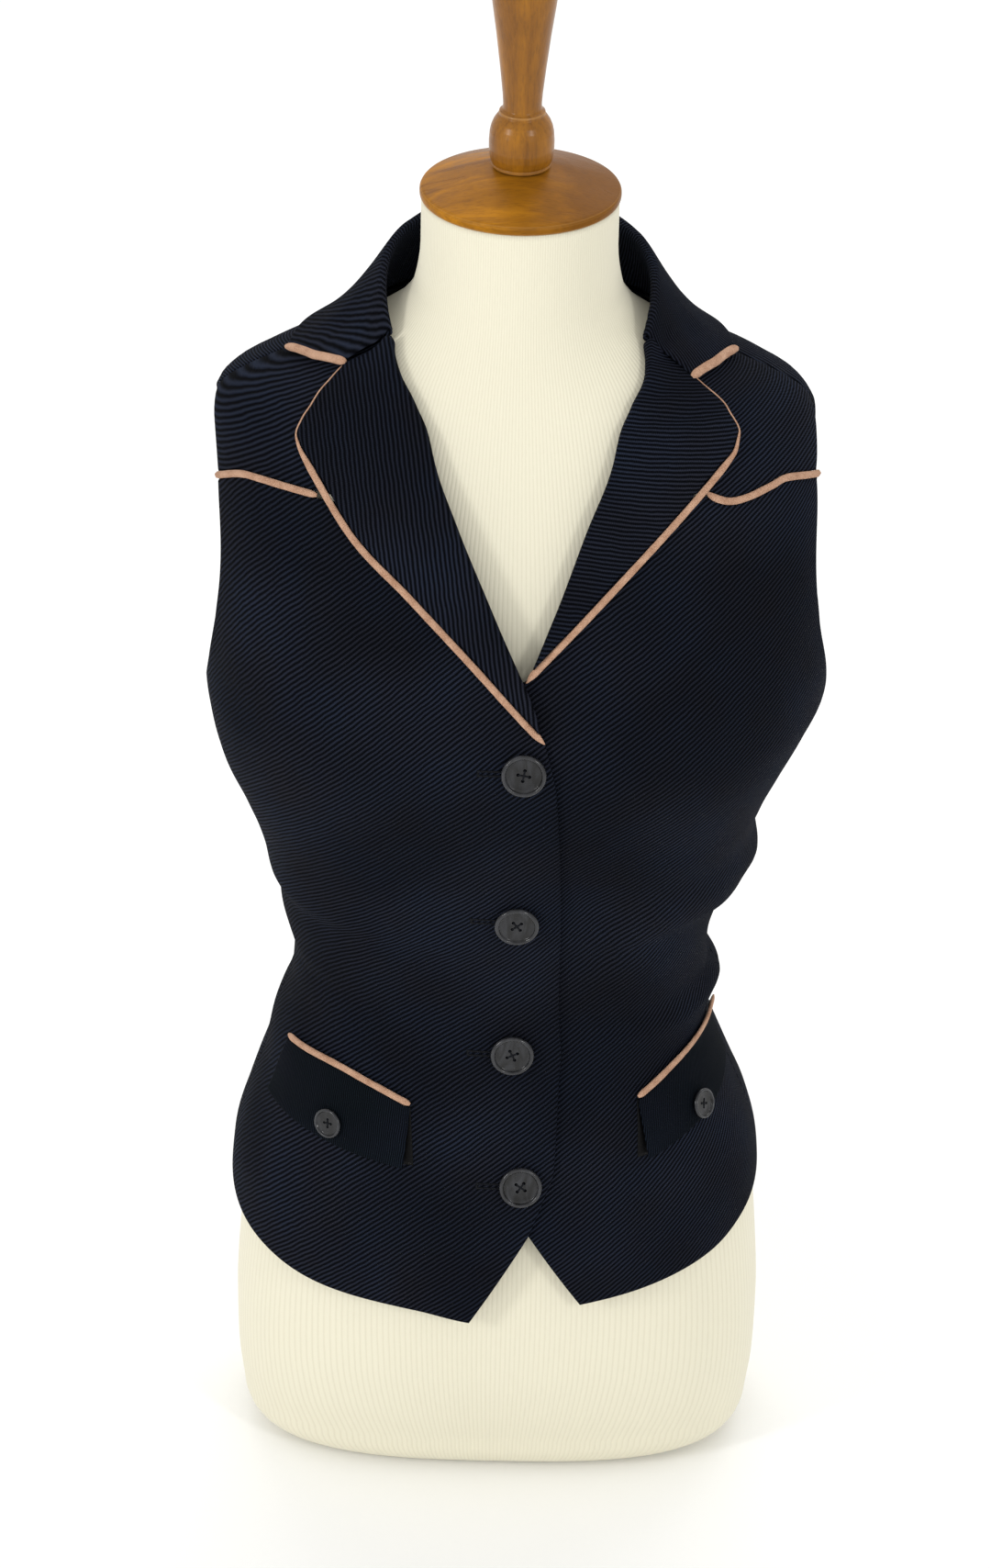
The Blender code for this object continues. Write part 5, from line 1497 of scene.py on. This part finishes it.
class VestClothSettings(bpy.types.PropertyGroup):
    rib_pitch: bpy.props.FloatProperty(
        name="Rib pitch", description="Distance between the twill's ribs", default=0.0025,
        min=0.001, max=0.01, precision=4, unit="LENGTH")
    rib_relief: bpy.props.FloatProperty(
        name="Rib relief", description="Height of the twill's ribs", default=0.0011,
        min=0, max=0.002, precision=5, unit="LENGTH")
    rib_angle: bpy.props.FloatProperty(
        name="Rib angle", description="Rise of the ribs across the fronts", default=math.radians(40),
        subtype="ANGLE")
    # The groove colour is painted shade between the ribs; the rib colours are the cloth's own, painted
    # lighter on the crests
    groove: bpy.props.StringProperty(
        name="Painted groove shade", description="sRGB hex colour of the painted shade between the ribs", default="#040509")
    ridge: bpy.props.StringProperty(
        name="Rib colour", description="sRGB hex colour on the ribs", default="#2C3344")
    ridge_warm: bpy.props.StringProperty(
        name="Second rib colour", description="sRGB hex colour where the dye is browner", default="#2D2F3A")
    reverse: bpy.props.StringProperty(
        name="Reverse colour", description="sRGB hex colour of the twill's reverse", default="#25323A")
    lining: bpy.props.StringProperty(
        name="Lining colour", description="sRGB hex colour of the lining", default="#0B0C10")


class VestTrimSettings(bpy.types.PropertyGroup):
    piping_width: bpy.props.FloatProperty(
        name="Piping width", description="Width of the suede piping", default=PIPING_WIDTH * MM,
        min=0.002, max=0.008, precision=4, unit="LENGTH")
    piping_light: bpy.props.StringProperty(
        name="Piping colour", description="sRGB hex colour of the rubbed nap", default="#DBB295")
    piping_dark: bpy.props.StringProperty(
        name="Piping shade", description="sRGB hex colour deep in the nap", default="#AA7D61")
    stitch_spacing: bpy.props.FloatProperty(
        name="Stitch spacing", description="Distance between purl stitches of a buttonhole",
        default=0.00062, min=0.0003, max=0.003, precision=5, unit="LENGTH")
    thread: bpy.props.StringProperty(
        name="Thread colour", description="sRGB hex colour of the sewing thread", default="#0D0F14")


class VestButtonSettings(bpy.types.PropertyGroup):
    diameter: bpy.props.FloatProperty(
        name="Front button", description="Diameter of the four front buttons",
        default=BUTTON_DIAMETER * MM, min=0.01, max=0.04, precision=4, unit="LENGTH")
    flap_diameter: bpy.props.FloatProperty(
        name="Flap button", description="Diameter of the two flap buttons",
        default=FLAP_BUTTON_DIAMETER * MM, min=0.01, max=0.03, precision=4, unit="LENGTH")
    hole: bpy.props.FloatProperty(
        name="Hole", description="Diameter of a button's holes", default=0.0021,
        min=0.001, max=0.004, precision=4, unit="LENGTH")
    body: bpy.props.StringProperty(
        name="Horn colour", description="sRGB hex colour of the horn", default="#070708")
    cloud: bpy.props.StringProperty(
        name="Horn streaks", description="sRGB hex colour of the smoky streaks", default="#2C2D31")
    # The rim colour is a painted highlight on the crest of each button's rim
    rim: bpy.props.StringProperty(
        name="Painted rim highlight", description="sRGB hex colour of the painted highlight on the crest of the rim", default="#47484C")


class VestFormSettings(bpy.types.PropertyGroup):
    wales: bpy.props.IntProperty(
        name="Wales", description="Knitted wales round the form", default=240, min=60, max=600)
    jersey_light: bpy.props.StringProperty(
        name="Jersey colour", description="sRGB hex colour on the wales", default="#E4DFC9")
    jersey_shade: bpy.props.StringProperty(
        name="Jersey shade", description="sRGB hex colour between the wales", default="#D4CDB5")
    wood_light: bpy.props.StringProperty(
        name="Wood light", description="sRGB hex colour of the pale grain", default="#B47717")
    wood_middle: bpy.props.StringProperty(
        name="Wood stain", description="sRGB hex colour of the stain", default="#784B12")
    wood_worn: bpy.props.StringProperty(
        name="Wood edges", description="sRGB hex colour where the stain is rubbed off", default="#C79A62")
    wood_dark: bpy.props.StringProperty(
        name="Wood pores", description="sRGB hex colour of the pores", default="#4A2D14")


class VestStageSettings(bpy.types.PropertyGroup):
    surround: bpy.props.FloatProperty(
        name="Surround", description="Brightness of the white surround", default=0.84, min=0, max=3)
    key: bpy.props.FloatProperty(
        name="Key light", description="Power that each light has a share of", default=20.0, min=0,
        unit="POWER")
    paper: bpy.props.StringProperty(
        name="Paper colour", description="sRGB hex colour of the floor", default="#FBFBFA")


SETTINGS = {"vest_cloth": VestClothSettings, "vest_trim": VestTrimSettings,
            "vest_buttons": VestButtonSettings, "vest_form": VestFormSettings,
            "vest_stage": VestStageSettings}

SHARED = {}


def shared(name, make):
    """A material or node tree that several pieces share, made when the first of them needs it."""
    if name not in SHARED:
        SHARED[name] = make()
    return SHARED[name]


def face_cloth(context):
    s = context.scene.vest_cloth
    return shared("face", lambda: steep_twill("navy cavalry twill", s.rib_pitch, s.rib_relief, s.groove,
                                              (s.ridge, s.ridge_warm), 1.0))


def cloth_and_lining(context):
    s = context.scene.vest_cloth
    return [face_cloth(context), shared("lining", lambda: satin_for_lining_and_painted_shade(s.lining))]


def flap_cloth(context):
    """The flaps show the twill's reverse: finer ribs, flatter and greyer."""
    s = context.scene.vest_cloth
    return [shared("reverse", lambda: steep_twill(
        "reverse of the navy twill", s.rib_pitch * 0.5, s.rib_relief * 0.4, s.groove,
        (s.reverse, s.ridge), 0.55))]


def suede(context):
    s = context.scene.vest_trim
    return shared("suede", lambda: suede_piping(s.piping_light, s.piping_dark))


def thread(context):
    s = context.scene.vest_trim
    return shared("thread", lambda: cotton_thread(s.thread))


def cloth_piece(obj):
    """A piece of twill: it stands for its node of the part."""
    finished(obj, obj.name.removesuffix("_cloth"))


class VEST_OT_fronts(bpy.types.Operator):
    """The two lower fronts, the right one lapping over the left"""
    bl_idname = "vest.fronts"
    bl_label = "Fronts"

    def execute(self, context):
        angle = math.degrees(context.scene.vest_cloth.rib_angle)
        cloths = cloth_and_lining(context)
        for side in SIDES:
            cloth_piece(front_piece(side, angle, cloths))
        return {"FINISHED"}


class VEST_OT_yokes(bpy.types.Operator):
    """The two shoulder pieces above the piped yoke seams"""
    bl_idname = "vest.yokes"
    bl_label = "Yokes"

    def execute(self, context):
        cloths = cloth_and_lining(context)
        for side in SIDES:
            cloth_piece(yoke_piece(side, cloths))
        return {"FINISHED"}


class VEST_OT_backs(bpy.types.Operator):
    """The two halves of the back"""
    bl_idname = "vest.backs"
    bl_label = "Back"

    def execute(self, context):
        angle = math.degrees(context.scene.vest_cloth.rib_angle)
        cloths = cloth_and_lining(context)
        for side in SIDES:
            cloth_piece(back_piece(side, angle, cloths))
        return {"FINISHED"}


class VEST_OT_lapels(bpy.types.Operator):
    """The two notched lapels, rolled back over the fronts"""
    bl_idname = "vest.lapels"
    bl_label = "Lapels"

    def execute(self, context):
        for side in SIDES:
            cloth_piece(lapel(side, [face_cloth(context)]))
        return {"FINISHED"}


class VEST_OT_collar(bpy.types.Operator):
    """The folded collar: its stand and its fall in one sheet"""
    bl_idname = "vest.collar"
    bl_label = "Collar"

    def execute(self, context):
        cloth_piece(collar([face_cloth(context)]))
        return {"FINISHED"}


class VEST_OT_flaps(bpy.types.Operator):
    """The pocket flaps, and a near-black patch of painted shade in the gap beside each one's inner end"""
    bl_idname = "vest.flaps"
    bl_label = "Pocket flaps"

    def execute(self, context):
        # The patch beside each flap is painted shade, cut from near-black satin
        lining = [shared("painted pocket shade satin", lambda: satin_for_lining_and_painted_shade(POCKET_SHADE_PAINT))]
        for side in SIDES:
            cloth_piece(flap(side, flap_cloth(context)))
            finished(painted_pocket_shade(side, lining))
        return {"FINISHED"}


class VEST_OT_piping(bpy.types.Operator):
    """Suede piping on the lapels, collar, yoke seams and pockets"""
    bl_idname = "vest.piping"
    bl_label = "Piping"

    def execute(self, context):
        width = context.scene.vest_trim.piping_width
        over_panel = LAY + PIPING_HEIGHT / 2
        runs = []
        for side in SIDES:
            outline = side.lapel + side.tip
            path = lapel_outline(outline, 0.5)
            total = lengths(path)[-1]
            at = np.arange(NOTCH_GAP, total, CORD_STEP)
            path = resample_at(path, at / total)
            centre, normal = map(smoothed, surface_cord(path, lift_of(side), over_panel))
            girth = piping_share(outline)(at / total) * np.clip((total - at + 2) / 8, 0.3, 1) ** 0.7
            runs.append((f"piping_lapel_{side.name}", centre, normal, girth, PIPING_HEIGHT))
        for name, centre, normal in collar_pipings(collar_grid()):
            runs.append((name, centre, normal, COLLAR_PIPING, PIPING_HEIGHT))
        for side in SIDES:
            path = seam_edge(side, 0.0, CORD_STEP)
            runs.append((f"piping_yoke_{side.name}", *surface_cord(path, flat_lift, SEAM_PIPING_LIFT),
                         SEAM_PIPING, SEAM_PIPING_HEIGHT))
        for side in SIDES:
            path = curve([(math.radians(angle), top) for angle, top, _ in side.pocket], CORD_STEP)
            runs.append((f"piping_pocket_{side.name}", *surface_cord(path, flat_lift, over_panel),
                         SEAM_PIPING, PIPING_HEIGHT))
        tree = shared("cord", cord_tree)
        for name, centre, normal, girth, height in runs:
            k = np.arange(len(centre))
            uneven = 1 + PIPING_UNEVEN * np.sin(k * 0.83) * np.sin(k * 0.31)
            obj = grown(name + "_suede", [cord_path(centre, normal, girth * uneven)], tree,
                        {"Width": width, "Height": height * MM, "Sides": 16, "Material": suede(context)})
            finished(obj, name)
        return {"FINISHED"}


class VEST_OT_buttons(bpy.types.Operator):
    """The four front buttons, the two on the flaps, and the thread that holds them"""
    bl_idname = "vest.buttons"
    bl_label = "Buttons"

    def execute(self, context):
        s = context.scene.vest_buttons
        horn = [shared("horn", lambda: polished_horn(s.body, s.cloud, s.rim))]
        cords = shared("cord", cord_tree)
        jobs = []
        for number, ((x, z), turn, tilt) in enumerate(zip(FRONT_BUTTONS, BUTTON_TURNS, BUTTON_TILTS), 1):
            phi, height = front(x, z)
            jobs.append((f"button_{number}", phi, height, RISE, s.diameter / MM, math.radians(turn),
                         math.radians(tilt)))
        for side in SIDES:
            angle, z = side.flap_button
            jobs.append((f"flap_button_{side.name}", math.radians(angle), z, LAY + FLAP_CLOTH,
                         s.flap_diameter / MM, 0.0, 0.0))
        for name, phi, z, level, diameter, turn, tilt in jobs:
            under = BUTTON_STANDOFF + diameter / 2 * math.sin(tilt)
            lift = level + under + float(creases(phi, z))
            place, normal = cloth(np.array([phi]), np.array([z]), np.array([lift]))
            raised = np.array([[0, 0, 1]]) - normal * normal[:, 2:]
            normal = unit(normal * math.cos(tilt) + raised * math.sin(tilt))
            hole = s.hole / MM * (diameter / BUTTON_DIAMETER) ** 0.5
            obj, holes, normal, top = button_mesh(name + "_horn", diameter, hole, HOLE_SPREAD * diameter,
                                                  turn, place[0], normal[0], horn)
            finished(obj, name)
            sewn = grown(name + "_thread", thread_paths(holes, normal, top, under), cords,
                         {"Width": THREAD * MM, "Height": THREAD * MM, "Sides": 8,
                          "Material": thread(context)})
            finished(sewn)
        return {"FINISHED"}


class VEST_OT_buttonholes(bpy.types.Operator):
    """The purl-stitched buttonholes of the right front"""
    bl_idname = "vest.buttonholes"
    bl_label = "Buttonholes"

    def execute(self, context):
        spacing = context.scene.vest_trim.stitch_spacing
        tree = shared("stitches", stitch_tree)
        for number, (x, z) in enumerate(FRONT_BUTTONS, 1):
            centre, normal = buttonhole_path(x + HOLE_OFF_BUTTON[0], z + HOLE_OFF_BUTTON[1],
                                             HOLE_LENGTH, HOLE_WIDTH)
            path = {"points": to_scene(centre), "up": unit(np.cross(normal, np.gradient(centre, axis=0)))}
            obj = grown(f"buttonhole_{number}", [path], tree,
                        {"Spacing": spacing, "Length": STITCH_LENGTH * MM, "Thickness": STITCH_WIDTH * MM,
                         "Material": thread(context)})
            finished(obj)
        return {"FINISHED"}


class VEST_OT_form(bpy.types.Operator):
    """The jersey-covered dress form, smooth and whole"""
    bl_idname = "vest.form"
    bl_label = "Dress form"

    def execute(self, context):
        s = context.scene.vest_form
        jersey = shared("jersey", lambda: ribbed_jersey(s.jersey_light, s.jersey_shade, s.wales))
        heights = np.concatenate([[0, 0.6, 1.8, 3.5, 6, 9, 13, 18, 24], np.arange(30, 680, 6.0),
                                  np.arange(680, 760, 2.0), np.arange(760, NECK_TOP, 6.0), [NECK_TOP]])
        count = FORM_SEGMENTS
        angles = np.linspace(-math.pi, math.pi, count + 1)[:-1]
        rings = [on_ring(form_radius, angles, np.full(count, float(z))) for z in heights]
        points = np.vstack(rings + [[(0, 0, 0)], [(0, 0, NECK_TOP)]])
        faces = []
        for i in range(len(heights) - 1):
            for k in range(count):
                a, b = i * count + k, i * count + (k + 1) % count
                faces.append((a, b, b + count, a + count))
        bottom, top = len(heights) * count, len(heights) * count + 1
        last = (len(heights) - 1) * count
        faces += [((k + 1) % count, k, bottom) for k in range(count)]
        faces += [(last + k, last + (k + 1) % count, top) for k in range(count)]
        obj = add_mesh("form_torso_jersey", points, faces, [jersey])
        self.wale_map(obj, count)
        finished(obj, "form_torso")
        return {"FINISHED"}

    def wale_map(self, obj, count):
        """One turn round the form in x, and its height in y, with no jump where they meet."""
        layer = obj.data.uv_layers.new(name="weave")
        for face in obj.data.polygons:
            across = [(obj.data.loops[k].vertex_index % count) / count for k in face.loop_indices]
            if max(across) - min(across) > 0.5:
                across = [a + 1 if a < 0.5 else a for a in across]
            for k, a in zip(face.loop_indices, across):
                layer.data[k].uv = (a, obj.data.vertices[obj.data.loops[k].vertex_index].co.z)


class VEST_OT_wood(bpy.types.Operator):
    """The turned neck cap and its finial"""
    bl_idname = "vest.wood"
    bl_label = "Neck cap and finial"

    def execute(self, context):
        s = context.scene.vest_form
        tree = shared("lathe", lathe_tree)
        place = to_scene((0, 0, NECK_TOP))
        # The first number of each piece sets how much darker its +x side is painted, a painted shade
        for name, section, along, painted_side_shade, lacquer in (("neck_cap", CAP_SECTION, "X", 9.0, 0.0),
                                                         ("neck_finial", FINIAL_SECTION, "Z", 6.0, 0.3)):
            wood = stained_beech(f"stained beech, {name[5:]}", s.wood_light, s.wood_middle, s.wood_dark,
                                 s.wood_worn, along, painted_side_shade, lacquer)
            obj = grown(name + "_wood", [lathe_path(section, LATHE_STEP)], tree,
                        {"Place": tuple(place), "Segments": LATHE_SEGMENTS, "Material": wood})
            finished(obj, name)
        return {"FINISHED"}


class VEST_OT_stage(bpy.types.Operator):
    """A pale floor, soft studio light and the camera"""
    bl_idname = "vest.stage"
    bl_label = "Stage"

    def execute(self, context):
        s = context.scene.vest_stage
        floor = bpy.data.meshes.new("floor")
        corners = [(x * FLOOR_REACH, y * FLOOR_REACH, 0) for x, y in ((-1, -1), (1, -1), (1, 1), (-1, 1))]
        floor.from_pydata(corners, [], [(0, 1, 2, 3)])
        floor.materials.append(studio_paper("white studio paper", s.paper))
        put("floor", floor)

        world = bpy.data.worlds.new("white surround")
        world.use_nodes = True
        world.node_tree.nodes["Background"].inputs[0].default_value = (1, 1, 1, 1)
        world.node_tree.nodes["Background"].inputs[1].default_value = s.surround
        context.scene.world = world
        for name, place, width, height, power in STUDIO_LIGHTS:
            lamp = bpy.data.lights.new(name, "AREA")
            lamp.shape = "RECTANGLE"
            lamp.size, lamp.size_y = width, height
            lamp.energy = power * s.key
            obj = put(name, lamp)
            aim = Vector(LIGHTS_AIM) - Vector(place)
            turn = aim.to_track_quat("-Z", "Y").to_matrix().to_4x4()
            obj.matrix_world = Matrix.Translation(place) @ turn

        lens = bpy.data.cameras.new("camera")
        lens.sensor_fit = "VERTICAL"
        lens.sensor_height = 36.0
        lens.lens = LENS
        camera = put("camera", lens)
        pitch, roll = math.radians(CAMERA_PITCH), math.radians(CAMERA_ROLL)
        back = Vector((0, -math.cos(pitch), math.sin(pitch)))
        right = (-back).cross(Vector((0, 0, 1))).normalized()
        up = right.cross(-back)
        turned_right = right * math.cos(roll) - up * math.sin(roll)
        turned_up = up * math.cos(roll) + right * math.sin(roll)
        turn = Matrix((turned_right, turned_up, back)).transposed().to_4x4()
        camera.matrix_world = Matrix.Translation(Vector(CAMERA_TARGET) + back * CAMERA_DISTANCE) @ turn
        context.scene.camera = camera
        context.scene.view_settings.view_transform = "Standard"
        return {"FINISHED"}


class VEST_PT_pieces(bpy.types.Panel):
    """Lists the vest's pieces and their settings"""
    bl_idname = "VEST_PT_pieces"
    bl_label = "Ranch vest"
    bl_space_type = "VIEW_3D"
    bl_region_type = "UI"
    bl_category = "Ranch vest"

    def draw(self, context):
        for step in STEPS:
            self.layout.operator(step.bl_idname)
        for name, group in SETTINGS.items():
            box = self.layout.box()
            for key in group.__annotations__:
                box.prop(getattr(context.scene, name), key)


STEPS = (VEST_OT_form, VEST_OT_wood, VEST_OT_backs, VEST_OT_fronts, VEST_OT_yokes, VEST_OT_lapels,
         VEST_OT_collar, VEST_OT_flaps, VEST_OT_piping, VEST_OT_buttons, VEST_OT_buttonholes,
         VEST_OT_stage)
CLASSES = (*SETTINGS.values(), *STEPS, VEST_PT_pieces)


def register():
    for each in CLASSES:
        bpy.utils.register_class(each)
    for name, group in SETTINGS.items():
        setattr(bpy.types.Scene, name, bpy.props.PointerProperty(type=group))


def unregister():
    for name in SETTINGS:
        delattr(bpy.types.Scene, name)
    for each in reversed(CLASSES):
        bpy.utils.unregister_class(each)


def main():
    register()
    bpy.ops.vest.form()
    bpy.ops.vest.wood()
    bpy.ops.vest.backs()
    bpy.ops.vest.fronts()
    bpy.ops.vest.yokes()
    bpy.ops.vest.lapels()
    bpy.ops.vest.collar()
    bpy.ops.vest.flaps()
    bpy.ops.vest.piping()
    bpy.ops.vest.buttons()
    bpy.ops.vest.buttonholes()
    bpy.ops.vest.stage()


if __name__ == "__main__":
    main()
